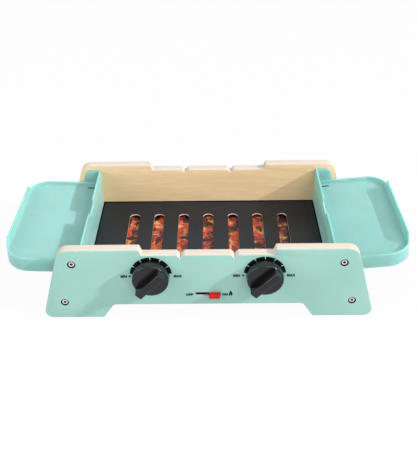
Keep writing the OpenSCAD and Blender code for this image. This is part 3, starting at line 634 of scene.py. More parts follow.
BOLTS = [(side * x, z) for side in (-1, 1) for x, z in ((149.3, 75.0), (162.6, 22.3))]
BOLT_HOLE, BOLT_SEAT, BOLT_SEAT_DEEP = 2.7, 4.55, 3.5
HINGE_X, HINGE_Z = 154.2, 61.5
SPIGOT, BOLT_SPIGOT, HINGE_SPIGOT, SPIGOT_GAP = 3.0, 5.0, 4.0, 0.3
SPIGOTS = [(x, z, BOLT_SPIGOT) for x, z in BOLTS]
SPIGOTS += [(side * HINGE_X, HINGE_Z, HINGE_SPIGOT) for side in (-1, 1)]
KNOB_X, KNOB_Z = 62.8, 61.0
BUSH_BORE, BUSH_DEEP, NUT_POCKET = 6.05, 7.2, 9.0
SLOT_HALF, SLOT_LOW, SLOT_HIGH, SLOT_LIP = 14.0, 30.2, 35.4, 3.2
PAST, THROUGH, NEAR = 1.0, 20.0, 0.1


def finish_of(face, outer, inner, way):
    """0 paint, 1 bare edge, 2 bare face, 3 painted shade: flat black in a bolt's seat and deep in the switch
    slot.
    """
    at = face.center / MM
    deep = (at.y - outer) * way
    facing_out = -face.normal.y * way
    in_seat = any(math.hypot(at.x - x, at.z - z) < BOLT_SEAT + NEAR for x, z in BOLTS)
    if in_seat and 0 < deep < BOLT_SEAT_DEEP + NEAR:
        return 3
    if abs(at.x) < SLOT_HALF + NEAR and SLOT_LOW - NEAR < at.z < SLOT_HIGH + NEAR and deep > SLOT_LIP:
        return 3
    if facing_out > 0.5 and deep < PANEL_ROUND:
        return 0
    return 2 if facing_out < -0.99 and deep > abs(inner - outer) - 0.02 else 1


def make_panel(name, outer, inner):
    way = 1 if inner > outer else -1
    board = make_piece(name, slab(PANEL_OUTLINE, 0.0, abs(inner - outer), PANEL_ROUND,
                                  lambda x, z, deep: (x, outer + way * deep, z)))
    seat = rod((BOLT_SEAT, -PAST, BOLT_SEAT_DEEP), (BOLT_HOLE, BOLT_SEAT_DEEP, THROUGH))
    cuts = [placed(seat, along_y(x, z, outer, way)) for x, z in BOLTS]
    for x, z, radius in SPIGOTS:
        pocket = rod((radius + SPIGOT_GAP, -PAST, SPIGOT + SPIGOT_GAP))
        cuts.append(placed(pocket, along_y(x, z, inner, -way)))
    if name.startswith("front"):
        hub = rod((BUSH_BORE, -PAST, BUSH_DEEP), (NUT_POCKET, BUSH_DEEP, THROUGH), steps=48)
        cuts += [placed(hub, along_y(side * KNOB_X, KNOB_Z, outer, way)) for side in (-1, 1)]
        step = (SLOT_HALF, outer + SLOT_LIP, SLOT_HIGH)
        combine(board, "DIFFERENCE", crate((-SLOT_HALF, outer - PAST, SLOT_LOW), step))
        cuts.append(crate((-SLOT_HALF, inner + PAST, SLOT_LOW), step))
    combine(board, "DIFFERENCE", *cuts)
    smooth(board)
    for face in board.data.polygons:
        face.material_index = finish_of(face, outer, inner, way)
    return board


for name, outer, inner in (("front_panel", FRONT_Y, FRONT_IN_Y), ("back_panel", BACK_Y, BACK_IN_Y)):
    panel = make_panel(name + "_board", outer, inner)
    dress(panel, "frame", "panel_paint", [name], painted_wood, bare_edge, bare_face, painted_shade_black)

# %% [markdown]
# ## Side frames
# A side frame is one moulding: a thin wall beside the plate, and a flange against each panel that carries
# the bolts and the tray's hinge. Moulded edges are never sharp. The wall is an outline in side view with a
# small round-over. The flange has a broad soft bevel towards the bay, which shows as a light rim. The left
# frame is the right one mirrored, so its faces are turned to point out again.

# %% Side frame shapes
WALL_IN, WALL_OUT, WALL_FOOT, WALL_TOP = 139.6, 141.6, 14.0, 87.5
WALL_ROUND, WALL_CORNER = 0.6, 0.3
NOTCH_HALF, NOTCH_Z, NOTCH_TOP_R, NOTCH_FOOT_R = 15.5, 80.5, 0.7, 0.8
FLANGE, FLANGE_FOOT, FLANGE_IN, RIM = 1.8, 8.0, 6.0, 2.6
FLANGE_TOP_R, FLANGE_FOOT_R = 8.0, 5.0
# How far in and how deep, from the panel to the bay
FLANGE_BEVEL = ((0.0, 0.0), (0.0, 0.4), (0.3, 0.8),
                (RIM - 0.8, FLANGE - 0.25), (RIM - 0.3, FLANGE - 0.06), (RIM, FLANGE))
EDGE_SLOPE = (FOOT_X - SHOULDER_X) / PANEL_TOP


def frame_edge(z, inset):
    """Where the flange's sloping edge is at a height, moved in by an inset."""
    return FOOT_X - EDGE_SLOPE * z - (FLANGE_IN + inset) * math.hypot(1, EDGE_SLOPE)


def flange_ring(inset, y):
    low, high = FLANGE_FOOT + inset, WALL_TOP - inset
    root = WALL_IN + WALL_ROUND
    corners = [(root, high, 0.0), (frame_edge(high, inset), high, FLANGE_TOP_R - inset),
               (frame_edge(low, inset), low, FLANGE_FOOT_R - inset), (root, low, 0.0)]
    return [(x, y, z) for x, z in rounded(corners)]


def raised(angle, side):
    """Turns a point about the right tray's hinge line, outer end up, and mirrors it for the left."""
    cosine, sine = math.cos(math.radians(angle)), math.sin(math.radians(angle))

    def place(x, y, z):
        out, above = x - HINGE_X, z - HINGE_Z
        return side * (HINGE_X + out * cosine - above * sine), y, HINGE_Z + out * sine + above * cosine
    return place


def put(piece, place, side):
    """Moves every point of a finished right-hand piece, and turns its faces out again if it was mirrored."""
    for corner in piece.data.vertices:
        corner.co = Vector(place(*(corner.co / MM))) * MM
    if side < 0:
        piece.data.flip_normals()
    return piece


# %% Side frames
INSERT_BORE, INSERT_FLOOR, STUB_BORE = 3.55, 0.8, 2.58
STOP_HALF, STOP_LOW, STOP_HIGH, STOP_X, STOP_ROUND = 76.5, 66.05, 69.05, 145.6, 0.8
TAB_X, TAB_FOOT, TAB_TOP, TAB_NEAR, TAB_FAR = 125.6, WALL_FOOT + 0.1, 16.5, 48.0, 78.0
SIDES = (("left", -1), ("right", 1))
TRAY_RISE, RIGHT_LIFT = 2.25, 3.0
OVERLAP = 0.2


def wall_shell():
    wall = [(FRONT_IN_Y, WALL_FOOT, WALL_CORNER), (FRONT_IN_Y, WALL_TOP, WALL_CORNER),
            (BAY_Y - NOTCH_HALF, WALL_TOP, NOTCH_TOP_R), (BAY_Y - NOTCH_HALF, NOTCH_Z, NOTCH_FOOT_R),
            (BAY_Y + NOTCH_HALF, NOTCH_Z, NOTCH_FOOT_R), (BAY_Y + NOTCH_HALF, WALL_TOP, NOTCH_TOP_R),
            (BACK_IN_Y, WALL_TOP, WALL_CORNER), (BACK_IN_Y, WALL_FOOT, WALL_CORNER)]
    return slab(wall, WALL_IN, WALL_OUT, WALL_ROUND, lambda y, z, x: (x, y, z), 5, 3)


def stop_shell():
    """The rib on the wall that a tray comes down on."""
    root = WALL_OUT - WALL_ROUND
    section = [(root, STOP_LOW, 0.0), (STOP_X, STOP_LOW, STOP_ROUND),
               (STOP_X, STOP_HIGH, STOP_ROUND), (root, STOP_HIGH, 0.0)]
    at_rest = raised(TRAY_RISE, 1)
    return slab(section, BAY_Y - STOP_HALF, BAY_Y + STOP_HALF, STOP_ROUND,
                lambda x, z, y: at_rest(x, y, z), 4, 3)


def make_side_frame(name):
    moulding = make_piece(name, wall_shell())
    parts, cuts = [], []
    insert = rod((INSERT_BORE, -SPIGOT - PAST, FLANGE - INSERT_FLOOR), steps=32)
    stub_bore = rod((STUB_BORE, -SPIGOT - PAST, FLANGE + PAST), steps=32)
    for panel_y, way in ((FRONT_IN_Y, 1), (BACK_IN_Y, -1)):
        parts.append(stack([flange_ring(inset, panel_y + way * deep) for inset, deep in FLANGE_BEVEL]))
        for x, z, radius in [spot for spot in SPIGOTS if spot[0] > 0]:
            parts.append(placed(rod((radius, -OVERLAP, SPIGOT)), along_y(x, z, panel_y, -way)))
        parts.append(crate((TAB_X, BAY_Y - way * TAB_NEAR, TAB_FOOT),
                           (WALL_IN + WALL_ROUND, BAY_Y - way * TAB_FAR, TAB_TOP)))
        cuts += [placed(insert, along_y(x, z, panel_y, way)) for x, z in BOLTS if x > 0]
        cuts.append(placed(stub_bore, along_y(HINGE_X, HINGE_Z, panel_y, way)))
    combine(moulding, "UNION", *parts, stop_shell())
    combine(moulding, "DIFFERENCE", *cuts)
    smooth(moulding, 50.0)
    return moulding


for name, side in SIDES:
    moulding = put(make_side_frame(name + "_frame_moulding"), raised(0.0, side), side)
    dress(moulding, "frame", "mint_plastic", [name + "_side_frame"], mint_plastic)

# %% [markdown]
# ## Trays
# Each tray is a thin moulding too: a floor, a low lip that curves up from it, a taller lip at the far end and
# a skirt below. Its section is the same all the way round, so it is written once as pairs of how far in and
# how high, and carried along the rounded outline. Only the top of the lip changes: it rises at the far end.
# At the wall the tray ends in a curve about its hinge line, so that it can fold up.

# %% Tray shapes
TRAY_HALF, TRAY_OUT, FRONT_CORNER, BACK_CORNER, CORNER_STEPS = 86.5, 230.2, 30.0, 25.0, 12
TRAY_LOW, FLOOR_LOW, FLOOR_TOP, LIP_TOP, LIP_RISE = 54.0, 64.0, 66.0, 71.3, 7.6
TRAY_WALL, TRAY_FILLET, LIP_ROUND, FOOT_ROUND, ROOF_FILLET = 2.0, 2.2, 0.75, 0.6, 0.8
TALL_HALF, TALL_SLOPE = 58.0, 4.0
END_STEPS = (40.0, 20.0)
SWING = 12.4


def tray_section():
    """From the floor's top, over the lip, to its underside: (how far in, level, counted from the lip?)."""
    bend = quarter(4)
    section = [(TRAY_WALL + TRAY_FILLET * u, FLOOR_TOP + TRAY_FILLET * v, False) for u, v in bend]
    section += [(TRAY_WALL - LIP_ROUND * v, -LIP_ROUND * u, True) for u, v in bend]
    section += [(LIP_ROUND * u, -LIP_ROUND * v, True) for u, v in bend]
    section += [(FOOT_ROUND * v, TRAY_LOW + FOOT_ROUND * u, False) for u, v in bend]
    section += [(TRAY_WALL - FOOT_ROUND * u, TRAY_LOW + FOOT_ROUND * v, False) for u, v in bend]
    section += [(TRAY_WALL + ROOF_FILLET * v, FLOOR_LOW - ROOF_FILLET * u, False) for u, v in bend]
    return section


def tray_edge(inset):
    """The outline from the front side round the far end to the back side, with points where the lip rises."""
    edge = []
    for way, corner in ((-1, FRONT_CORNER), (1, BACK_CORNER)):
        middle_x, middle_y, radius = TRAY_OUT - corner, TRAY_HALF - corner, corner - inset
        low, tall = (math.acos(max(0.0, y - middle_y) / radius) for y in (TALL_HALF + TALL_SLOPE, TALL_HALF))
        turns = [low * k / CORNER_STEPS for k in range(CORNER_STEPS + 1)] + sorted({tall, math.pi / 2})
        half = [(middle_x + radius * math.sin(a), way * (middle_y + radius * math.cos(a))) for a in turns]
        half += [(TRAY_OUT - inset, way * y) for y in (TALL_HALF, *END_STEPS) if y < middle_y]
        edge.append(half)
    return edge[0] + [(TRAY_OUT - inset, 0.0)] + edge[1][::-1]


def tray_ring(inset, level, from_top):
    """One line of the section carried along the outline, to the curve at the wall at both ends."""
    ring = []
    for x, y in tray_edge(inset):
        tall = max(0.0, min(1.0, (TALL_HALF + TALL_SLOPE - abs(y)) / TALL_SLOPE))
        ring.append((x, BAY_Y + y, level + LIP_TOP + LIP_RISE * tall if from_top else level))
    near_z = ring[0][2]
    near_x = HINGE_X - math.sqrt(SWING ** 2 - (near_z - HINGE_Z) ** 2)
    return [(near_x, ring[0][1], near_z)] + ring + [(near_x, ring[-1][1], near_z)]


# %% Trays
STUB_R, STUB_REACH, STUB_BEVEL = 2.5, 5.2, 0.5
RELIEF_NEAR, RELIEF_FAR = (148.7, 78.3, 63.0), (157.7, 80.7, 67.0)
# From the hinge line, the tray's sides and the floor's underside
RIB_NEAR, RIB_FAR, RIB_SHORT, RIB_SUNK = 9.5, 7.5, 1.0, 0.5


def in_relief(face):
    """Whether a face is one of the short walls of a relief slot, within the floor's thickness."""
    x, y, z = face.center / MM
    in_x = RELIEF_NEAR[0] - NEAR < x < RELIEF_FAR[0] + NEAR
    in_y = RELIEF_NEAR[1] - NEAR < abs(y - BAY_Y) < RELIEF_FAR[1] + NEAR
    return in_x and in_y and FLOOR_LOW < z < FLOOR_TOP and abs(face.normal.z) < 0.2


def make_tray(name):
    """The right tray, level, with painted shade on the walls of its relief slots."""
    rings = [tray_ring(*line) for line in tray_section()]
    points, faces = stack(rings, closed=False)
    count, last = len(rings[0]), len(rings) - 1
    for end in (0, count - 1):
        faces.append(tuple(i * count + end for i in range(len(rings))))
    faces.append((0, count - 1, last * count + count - 1, last * count))
    tray = make_piece(name, (points, faces))
    combine(tray, "UNION", crate((HINGE_X - RIB_NEAR, BAY_Y - TRAY_HALF + RIB_SHORT, TRAY_LOW + OVERLAP),
                                 (HINGE_X - RIB_FAR, BAY_Y + TRAY_HALF - RIB_SHORT, FLOOR_LOW + RIB_SUNK)))
    stub = turned([(0, -STUB_BEVEL), (STUB_R, -STUB_BEVEL), (STUB_R, STUB_REACH - STUB_BEVEL),
                   (STUB_R - STUB_BEVEL, STUB_REACH), (0, STUB_REACH)], 32)
    ends = [along_y(HINGE_X, HINGE_Z, BAY_Y + way * TRAY_HALF, way) for way in (-1, 1)]
    combine(tray, "UNION", *(placed(stub, end) for end in ends))
    slots = []
    for way in (-1, 1):
        slots.append(crate(*((x, BAY_Y + way * y, z) for x, y, z in (RELIEF_NEAR, RELIEF_FAR))))
    combine(tray, "DIFFERENCE", *slots)
    smooth(tray, 50.0, 200.0)
    # Painted shade: the relief slots' short walls get flat black.
    for face in tray.data.polygons:
        face.material_index = int(in_relief(face))
    return tray


for name, side, angle in (("left", -1, TRAY_RISE), ("right", 1, TRAY_RISE + RIGHT_LIFT)):
    tray = put(make_tray(name + "_tray_moulding"), raised(angle, side), side)
    dress(tray, name + "_tray_body", "mint_plastic", [name + "_tray"], mint_plastic, painted_shade_black)

# %% [markdown]
# ## Knobs and switch cap
# A knob is a cup turned on a lathe, with a bar across its face for the fingers. The cup is a profile carried
# round the axis, and the bar is a rounded section carried along its length and joined on. The switch cap is
# a block with soft edges and a few grip lines, on a lever that reaches into the switch.

# %% Knobs
KNOB_R, FACE_R, FACE_Z, FACE_ROUND = 20.8, 20.0, 13.0, 1.3
KNOB_FOOT, FOOT_BEVEL = 0.4, ((0.0, 0.8), (0.12, 0.52))
HOLLOW_FOOT_R, HOLLOW_TOP_R, HOLLOW_Z = 18.6, 17.8, 10.8
HUB_R, HUB_Z, SPINDLE_R, SPINDLE_Z, PILOT_R, PILOT_Z = 6.4, 2.8, 4.0, -7.5, 1.6, 3.0
BAR_HALF, BAR_TOP, BAR_FOOT, BAR_ANGLE = 19.0, 4.3, 5.1, math.radians(45)
BAR_Z, BAR_SUNK, BAR_ROUND, BAR_END_ROUND = 23.8, 0.6, 1.0, 0.9


def knob_profile():
    """From the middle of the face, over the rim and up the hollow, to the end of the screw's pilot hole."""
    profile = [(0, FACE_Z)] + [(FACE_R - FACE_ROUND * u, FACE_Z - FACE_ROUND * v) for u, v in quarter(5)]
    profile += [(KNOB_R - inset, height) for inset, height in (*FOOT_BEVEL, (KNOB_FOOT, KNOB_FOOT))]
    profile += [(HOLLOW_FOOT_R, KNOB_FOOT), (HOLLOW_TOP_R, HOLLOW_Z), (HUB_R, HOLLOW_Z), (HUB_R, HUB_Z)]
    profile += [(SPINDLE_R, HUB_Z), (SPINDLE_R, SPINDLE_Z), (PILOT_R, SPINDLE_Z), (PILOT_R, PILOT_Z)]
    return profile + [(0, PILOT_Z)]


def make_knob(name, x):
    place = along_y(x, KNOB_Z, FRONT_Y, -1)
    knob = make_piece(name, placed(turned(knob_profile(), 96), place))
    cosine, sine = math.cos(BAR_ANGLE), math.sin(BAR_ANGLE)

    def across_face(across, out, along):
        return place(along * cosine - across * sine, along * sine + across * cosine, out)
    section = [(-BAR_FOOT, FACE_Z - BAR_SUNK, 0.0), (BAR_FOOT, FACE_Z - BAR_SUNK, 0.0),
               (BAR_TOP, BAR_Z, BAR_ROUND), (-BAR_TOP, BAR_Z, BAR_ROUND)]
    combine(knob, "UNION", slab(section, -BAR_HALF, BAR_HALF, BAR_END_ROUND, across_face, 5))
    smooth(knob, 40.0, 60.0)
    return knob


for name, side in SIDES:
    knob = make_knob(name + "_knob_grip", side * KNOB_X)
    dress(knob, name + "_knob_body", "knob_plastic", [name + "_knob"], black_plastic)

# %% Switch cap
CAP_X, CAP_Z, CAP_HALF, CAP_HIGH, CAP_CORNER, CAP_ROUND = 7.2, 32.8, 6.3, 2.45, 1.5, 1.3
CAP_FRONT, CAP_BACK = FRONT_Y - 6.5, FRONT_IN_Y - 0.5
LEVER_HALF, LEVER_HIGH, LEVER_ROUND, LEVER_END = 3.0, 1.1, 0.2, FRONT_IN_Y + 3.4
GRIP_LINES, GRIP_HALF, GRIP_DEEP, GRIP_REACH = (-3.0, -1.0, 1.0, 3.0), 0.3, 0.4, 4.0


def block(half_x, half_z, front, back, corner, edge):
    """A block along Y at the cap's middle, with rounded corners and soft ends."""
    corners = [(CAP_X + u * half_x, CAP_Z + v * half_z, corner) for u, v in SQUARE]
    return slab(corners, front, back, edge, lambda x, z, y: (x, y, z), 5)


cap = make_piece("switch_cap_grip", block(CAP_HALF, CAP_HIGH, CAP_FRONT, CAP_BACK, CAP_CORNER, CAP_ROUND))
combine(cap, "UNION", block(LEVER_HALF, LEVER_HIGH, CAP_BACK - PAST, LEVER_END, LEVER_ROUND, LEVER_ROUND))
combine(cap, "DIFFERENCE", *(
    crate((CAP_X + line - GRIP_HALF, CAP_FRONT - PAST, CAP_Z - GRIP_REACH),
          (CAP_X + line + GRIP_HALF, CAP_FRONT + GRIP_DEEP, CAP_Z + GRIP_REACH)) for line in GRIP_LINES))
smooth(cap, 40.0, 20.0)
dress(cap, "switch_slider", "cap_plastic", ["switch_cap"], red_plastic)

# %% [markdown]
# ## Bolts and screws with Geometry Nodes
# Eight hex bolts hold the panels. Smaller square-socket screws hold the tub, the plate and the knobs. They
# repeat, so a node tree makes one and puts a copy on each point. The tree takes the sizes as named inputs. A
# cone gives the head a crown with a bevelled edge, and a boolean cuts the socket through it. The collar below
# shows as the socket's floor and as a ring outside. At the bolts it is flat black, painted shade in the
# socket and in the gap round the head. Which way each copy faces is kept on its point. At the end the copies
# are made real, so that each piece is a plain mesh.

# %% Node tree for sunk-head fasteners
FASTENER_SIZES = {
    "Collar Radius": 4.2 * MM, "Crown Radius": 3.2 * MM, "Crown Height": 0.7 * MM, "Crown Bevel": 0.25 * MM,
    "Head Height": 2.8 * MM, "Socket Radius": 1.9 * MM, "Socket Sides": 6, "Shank Radius": 2.5 * MM,
    "Shank Length": 9.1 * MM}
HEAD_SIDES, SHANK_SIDES = 40, 24
# Shares of the head's height and of the crown's
SHANK_FROM, HOLE_DEEP = 0.98, 4.0


def lift(tree, mesh, height):
    shift = result(tree, "ShaderNodeCombineXYZ", Z=height)
    return result(tree, "GeometryNodeTransform", Geometry=mesh, Translation=shift)


def cylinder(tree, sides, radius, depth, middle):
    """A cylinder with its middle at a height."""
    made = result(tree, "GeometryNodeMeshCylinder", Vertices=sides, Radius=radius, Depth=depth)
    return lift(tree, made, middle)


def on_points(tree, points, mesh, material):
    """A copy of the mesh on each point, facing as the point says, made real and given its finish."""
    turn = result(tree, "GeometryNodeInputNamedAttribute", data_type="FLOAT_VECTOR", Name="turn")
    copies = result(tree, "GeometryNodeInstanceOnPoints", Points=points, Instance=mesh, Rotation=turn)
    real = result(tree, "GeometryNodeRealizeInstances", copies)
    return result(tree, "GeometryNodeSetMaterial", Geometry=real, Material=material)


def open_solid_tree(name, sizes, *finishes):
    """A tree that takes points, sizes and finishes, and puts out a mesh."""
    inputs = {"Geometry": "Geometry", **sizes, **dict.fromkeys(finishes, "Material")}
    return open_group(name, "GeometryNodeTree", inputs, {"Geometry": "Geometry"})


def close_solid_tree(tree, given, done, meshes):
    """Puts each mesh on the points with the finish that it is listed under, and joins them all."""
    joined = add_node(tree, "GeometryNodeJoinGeometry")
    for finish, mesh in meshes.items():
        tree.links.new(on_points(tree, given["Geometry"], mesh, given[finish]), joined.inputs[0])
    feed(tree, done, joined.outputs[0])
    print(tree.name, "tree:", len(tree.nodes), "nodes")


fastener, given, done = open_solid_tree("sunk_head_fastener", FASTENER_SIZES, "Crown", "Body")
head, crown_high, long = given["Head Height"], given["Crown Height"], given["Shank Length"]
collar = cylinder(fastener, HEAD_SIDES, given["Collar Radius"], maths(fastener, "SUBTRACT", head, crown_high),
                  maths(fastener, "MULTIPLY", maths(fastener, "ADD", head, crown_high), -0.5))
shank_middle = maths(fastener, "SUBTRACT", maths(fastener, "MULTIPLY", long, -0.5),
                     maths(fastener, "MULTIPLY", head, SHANK_FROM))
shank = cylinder(fastener, SHANK_SIDES, given["Shank Radius"], long, shank_middle)
body = add_node(fastener, "GeometryNodeMeshBoolean", operation="UNION", solver="EXACT")
for mesh in (collar, shank):
    fastener.links.new(mesh, body.inputs["Mesh 2"])
cone = result(fastener, "GeometryNodeMeshCone", Vertices=HEAD_SIDES, Radius_Bottom=given["Crown Radius"],
              Radius_Top=maths(fastener, "SUBTRACT", given["Crown Radius"], given["Crown Bevel"]),
              Depth=crown_high)
hole = cylinder(fastener, given["Socket Sides"], given["Socket Radius"],
                maths(fastener, "MULTIPLY", crown_high, HOLE_DEEP), 0.0)
crown = result(fastener, "GeometryNodeMeshBoolean", operation="DIFFERENCE", solver="EXACT", Mesh_2=hole,
               Mesh_1=lift(fastener, cone, maths(fastener, "MULTIPLY", crown_high, -1.0)))
close_solid_tree(fastener, given, done, {"Crown": crown, "Body": body.outputs[0]})

# %% Bolts and screws on their points
FACING = {"front": (math.pi / 2, 0, 0), "back": (-math.pi / 2, 0, 0), "down": (math.pi, 0, 0)}
BOLT_SUNK = 0.7
# Head radius, head height, shank radius, shank length
TUB_SCREW, PLATE_SCREW, KNOB_SCREW = (2.8, 2.0, 1.5, 10.0), (2.5, 2.0, 1.2, 17.5), (3.0, 2.0, 1.5, 9.0)
TUB_SCREWS_AT, PLATE_SCREWS_AT = (132.3, 63.0, 12.0), (112.3, 75.0, 17.5)


def grow(name, tree, spots, values):
    """Runs a node tree on a few points, each with the way it faces, and keeps the result as a plain mesh."""
    mesh = bpy.data.meshes.new(name)
    mesh.from_pydata([Vector(spot) * MM for spot, facing in spots], [], [])
    turn = mesh.attributes.new("turn", "FLOAT_VECTOR", "POINT")
    for item, (spot, facing) in zip(turn.data, spots):
        item.vector = FACING[facing]
    piece = bpy.data.objects.new(name, mesh)
    scene.collection.objects.link(piece)
    modifier = piece.modifiers.new("grow", "NODES")
    modifier.node_group = tree
    for socket in tree.interface.items_tree:
        if socket.in_out == "INPUT" and socket.name in values:
            modifier[socket.identifier] = values[socket.name]
    settle(piece)
    smooth(piece, 30.0)
    return piece


def small_screw(head, height, shank, length):
    """A screw whose collar, crown, bevel and socket follow from its head."""
    return {"Collar Radius": head * 0.98 * MM, "Crown Radius": head * MM, "Crown Height": height * 0.4 * MM,
            "Crown Bevel": height * 0.15 * MM, "Head Height": height * MM, "Socket Radius": head * 0.5 * MM,
            "Socket Sides": 4, "Shank Radius": shank * MM, "Shank Length": length * MM,
            "Crown": bright_steel, "Body": bright_steel}


def four(x, y, z):
    return [((across * x, BAY_Y + back * y, z), "down") for across in (-1, 1) for back in (-1, 1)]


bolt_spots = [((x, FRONT_Y + BOLT_SUNK, z), "front") for x, z in BOLTS]
bolt_spots += [((x, BACK_Y - BOLT_SUNK, z), "back") for x, z in BOLTS]
# The bolts' collar and shank are flat black: painted shade in the socket and round the head.
bolts = grow("panel_bolts", fastener, bolt_spots, {"Crown": dull_brass, "Body": painted_shade_black})
dress(bolts, "frame", "bolt_brass", ["front_bolts", "back_bolts"])
for name, spots, sizes in (("tub_screw", four(*TUB_SCREWS_AT), TUB_SCREW),
                           ("plate_screw", four(*PLATE_SCREWS_AT), PLATE_SCREW)):
    screws = grow(name + "_heads", fastener, spots, small_screw(*sizes))
    dress(screws, "frame", "screw_steel", [name + "s"])
for name, side in SIDES:
    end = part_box(name + "_knob_screw")[1].y / MM
    spots = [((side * KNOB_X, end, KNOB_Z), "back")]
    screw = grow(name + "_knob_screw_head", fastener, spots, small_screw(*KNOB_SCREW))
    dress(screw, name + "_knob_body", "screw_steel", [name + "_knob_screw"])

# %% [markdown]
# ## Printed marks
# Each knob has a black half ring with pale lines, a dot, and words at its two ends. Ink is a film, so every
# mark is a very thin solid that lies on the paint. The ring follows a rule, so a node tree sweeps a flat
# section along an arc, and puts a line on each of five points of a second arc. The words are text made into
# mesh and fitted to the width that they take on the panel. The flame is two closed curves, one inside the
# other.

# %% Dial rings and lines
INK = 0.06
DIAL_SIZES = {
    "Outer Radius": 23.2 * MM, "Ring Width": 4.0 * MM, "Thickness": INK * MM,
    "Start": math.radians(3.0), "Sweep": math.radians(174.0),
    "Line Start": math.radians(30.0), "Line Sweep": math.radians(120.0),
    "Line Width": 0.7 * MM, "Line Count": 5}
ARC_POINTS = 72
# A line is a little longer and thicker than the ring, so that no faces fall together
LINE_LONG, LINE_THICK = 1.02, 1.6
dial, given, done = open_solid_tree("dial_ring", DIAL_SIZES, "Ink", "Line Ink")
wide, thick = given["Ring Width"], given["Thickness"]
middle = maths(dial, "SUBTRACT", given["Outer Radius"], maths(dial, "MULTIPLY", wide, 0.5))
bow = result(dial, "GeometryNodeCurveArc", Resolution=ARC_POINTS, Radius=middle,
             Start_Angle=given["Start"], Sweep_Angle=given["Sweep"])
strip = result(dial, "GeometryNodeCurvePrimitiveQuadrilateral", Width=wide, Height=thick)
ring = result(dial, "GeometryNodeCurveToMesh", Curve=bow, Profile_Curve=strip, Fill_Caps=True)
line_bow = result(dial, "GeometryNodeCurveArc", Resolution=given["Line Count"], Radius=middle,
                  Start_Angle=given["Line Start"], Sweep_Angle=given["Line Sweep"])
line_points = result(dial, "GeometryNodeCurveToPoints", mode="EVALUATED", Curve=line_bow)
line_size = result(dial, "ShaderNodeCombineXYZ", maths(dial, "MULTIPLY", wide, LINE_LONG),
                   given["Line Width"], maths(dial, "MULTIPLY", thick, LINE_THICK))
outward = result(dial, "FunctionNodeAlignRotationToVector", axis="X", pivot_axis="Z",
                 Vector=result(dial, "GeometryNodeInputPosition"))
lines = result(dial, "GeometryNodeInstanceOnPoints", Points=line_points, Rotation=outward,
               Instance=result(dial, "GeometryNodeMeshCube", Size=line_size))
real_lines = result(dial, "GeometryNodeRealizeInstances", lines)
close_solid_tree(dial, given, done, {"Ink": ring, "Line Ink": real_lines})

dial_spots = [((side * KNOB_X, FRONT_Y - INK / 2, KNOB_Z), "front") for side in (-1, 1)]
rings = grow("dial_rings", dial, dial_spots, {"Ink": ink_black, "Line Ink": ink_pale})
dress(rings, "frame", "knob_plastic", [])

# %% Words, dots and flame
WORD_HIGH, DIAL_WORDS_Z, SWITCH_WORDS_Z = 3.7, 58.6, 32.3
WORDS = (("MIN", -96.5, -89.4, DIAL_WORDS_Z), ("MAX", -37.9, -28.4, DIAL_WORDS_Z),
         ("MIN", 27.9, 35.6, DIAL_WORDS_Z), ("MAX", 87.3, 96.8, DIAL_WORDS_Z),
         ("OFF", -25.1, -16.8, SWITCH_WORDS_Z), ("ON", 15.6, 22.3, SWITCH_WORDS_Z))
BOLDNESS, SPACING, FILM, ROUNDNESS = 0.075, 1.12, 0.02, 4
DOT_R, DOT_Z, DOTS_X = 1.3, 58.7, (-86.4, 38.9)
FLAME_AT = (23.3, 27.4, 30.2, 38.2)
FLAME = ((0.50, 1.00), (0.64, 0.80), (0.86, 0.60), (0.99, 0.38), (0.98, 0.14), (0.86, 0.00),
         (0.14, 0.00), (0.02, 0.14), (0.01, 0.36), (0.12, 0.56), (0.28, 0.70), (0.38, 0.84))
FLAME_HOLE = ((0.51, 0.36), (0.58, 0.24), (0.60, 0.14), (0.57, 0.03), (0.43, 0.03), (0.40, 0.14),
              (0.43, 0.24))


def flat_shell(curve, x0, x1, z0, z1):
    """A filled flat curve made mesh and fitted to a rectangle on the front panel."""
    holder = bpy.data.objects.new("holder", curve)
    scene.collection.objects.link(holder)
    mesh = bpy.data.meshes.new_from_object(holder.evaluated_get(bpy.context.evaluated_depsgraph_get()))
    bpy.data.objects.remove(holder)
    spots = [v.co.copy() for v in mesh.vertices]
    low = [min(s[i] for s in spots) for i in range(3)]
    high = [max(s[i] for s in spots) for i in range(3)]
    points = []
    for s in spots:
        across, upward, out = ((s[i] - low[i]) / (high[i] - low[i]) for i in range(3))
        points.append((x0 + (x1 - x0) * across, FRONT_Y - INK * out, z0 + (z1 - z0) * upward))
    return points, [tuple(face.vertices) for face in mesh.polygons]


def word_shell(text, x0, x1, z):
    curve = bpy.data.curves.new(text, "FONT")
    curve.body = text
    curve.extrude = FILM
    curve.offset = BOLDNESS
    curve.space_character = SPACING
    curve.resolution_u = ROUNDNESS
    return flat_shell(curve, x0, x1, z - WORD_HIGH / 2, z + WORD_HIGH / 2)


def flame_shell():
    """An upright flame with a smaller one cut out at its foot."""
    curve = bpy.data.curves.new("flame", "CURVE")
    curve.dimensions = "2D"
    curve.fill_mode = "BOTH"
    curve.extrude = FILM
    for outline in (FLAME, FLAME_HOLE):
        spline = curve.splines.new("POLY")
        spline.points.add(len(outline) - 1)
        for point, (x, z) in zip(spline.points, outline):
            point.co = (x, z, 0, 1)
        spline.use_cyclic_u = True
    return flat_shell(curve, *FLAME_AT)


dot = rod((DOT_R, 0, INK), steps=20)
shells = [word_shell(*entry) for entry in WORDS]
shells += [placed(dot, along_y(x, DOT_Z, FRONT_Y, -1)) for x in DOTS_X]
lettering = make_piece("panel_lettering", *shells, flame_shell())
dress(lettering, "frame", "knob_plastic", [], ink_black)

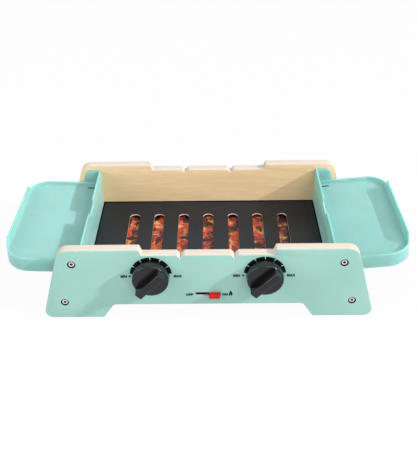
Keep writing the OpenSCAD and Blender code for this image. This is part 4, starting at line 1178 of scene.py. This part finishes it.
# %% [markdown]
# ## Painted shade round the plate
# A thin flat-black strip lies on the plate's edge at the back and along both walls. It is painted shade: it
# stands in for the shade in the gap between the plate and what stands round it.

# %% Painted shade strip
# Painted shade: flat-black strips along the plate's back and side edges.
SHADE_STRIP_WIDE, SHADE_STRIP_HIGH, SHADE_STRIP_GAP = 1.6, 0.5, 0.03
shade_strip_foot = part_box("griddle_plate")[1].z / MM + SHADE_STRIP_GAP
shade_strip_top = shade_strip_foot + SHADE_STRIP_HIGH
shade_strip_back, shade_strip_side = BACK_IN_Y - SHADE_STRIP_GAP, WALL_IN - SHADE_STRIP_GAP
strips = [crate((-shade_strip_side, shade_strip_back - SHADE_STRIP_WIDE, shade_strip_foot), (shade_strip_side, shade_strip_back, shade_strip_top))]
for side in (-1, 1):
    strips.append(crate((side * shade_strip_side, FRONT_IN_Y + SHADE_STRIP_GAP, shade_strip_foot),
                        (side * (shade_strip_side - SHADE_STRIP_WIDE), shade_strip_back - SHADE_STRIP_WIDE - SHADE_STRIP_GAP, shade_strip_top)))
shade_strip = make_piece("plate_painted_shade", *strips)
dress(shade_strip, "frame", "plate_board", [], painted_shade_black)

# %% [markdown]
# ## Finishes for the solids that stay
# The plate, the ember sheet and the pieces inside keep their solids. Each one's material slots are filled
# with the finish made for it above.

# %% Finishes for the other nodes
FINISH = {
    "griddle_plate": plate_board, "ember_sheet": ember_print, "light_tub": tub_plastic,
    "battery_door": tub_plastic, "led_board": board_lacquer, "leds": lamp_resin,
    "led_board_screws": bright_steel, "battery_door_screw": bright_steel, "battery_cells": cell_jacket,
    "battery_contacts": bright_steel, "battery_leads": wire_sheath, "switch_leads": wire_sheath,
    "switch_body": tub_plastic, "switch_screws": bright_steel, "left_click_bush": white_plastic,
    "right_click_bush": white_plastic, "left_knob_washer": bright_steel, "right_knob_washer": bright_steel,
    "thread_inserts": dull_brass}
for node, material in FINISH.items():
    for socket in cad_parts[node].material_slots:
        socket.material = material
left_plain = [n for n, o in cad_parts.items() if n not in FINISH and not o.hide_render]
print("nodes with no finish of their own:", left_plain)
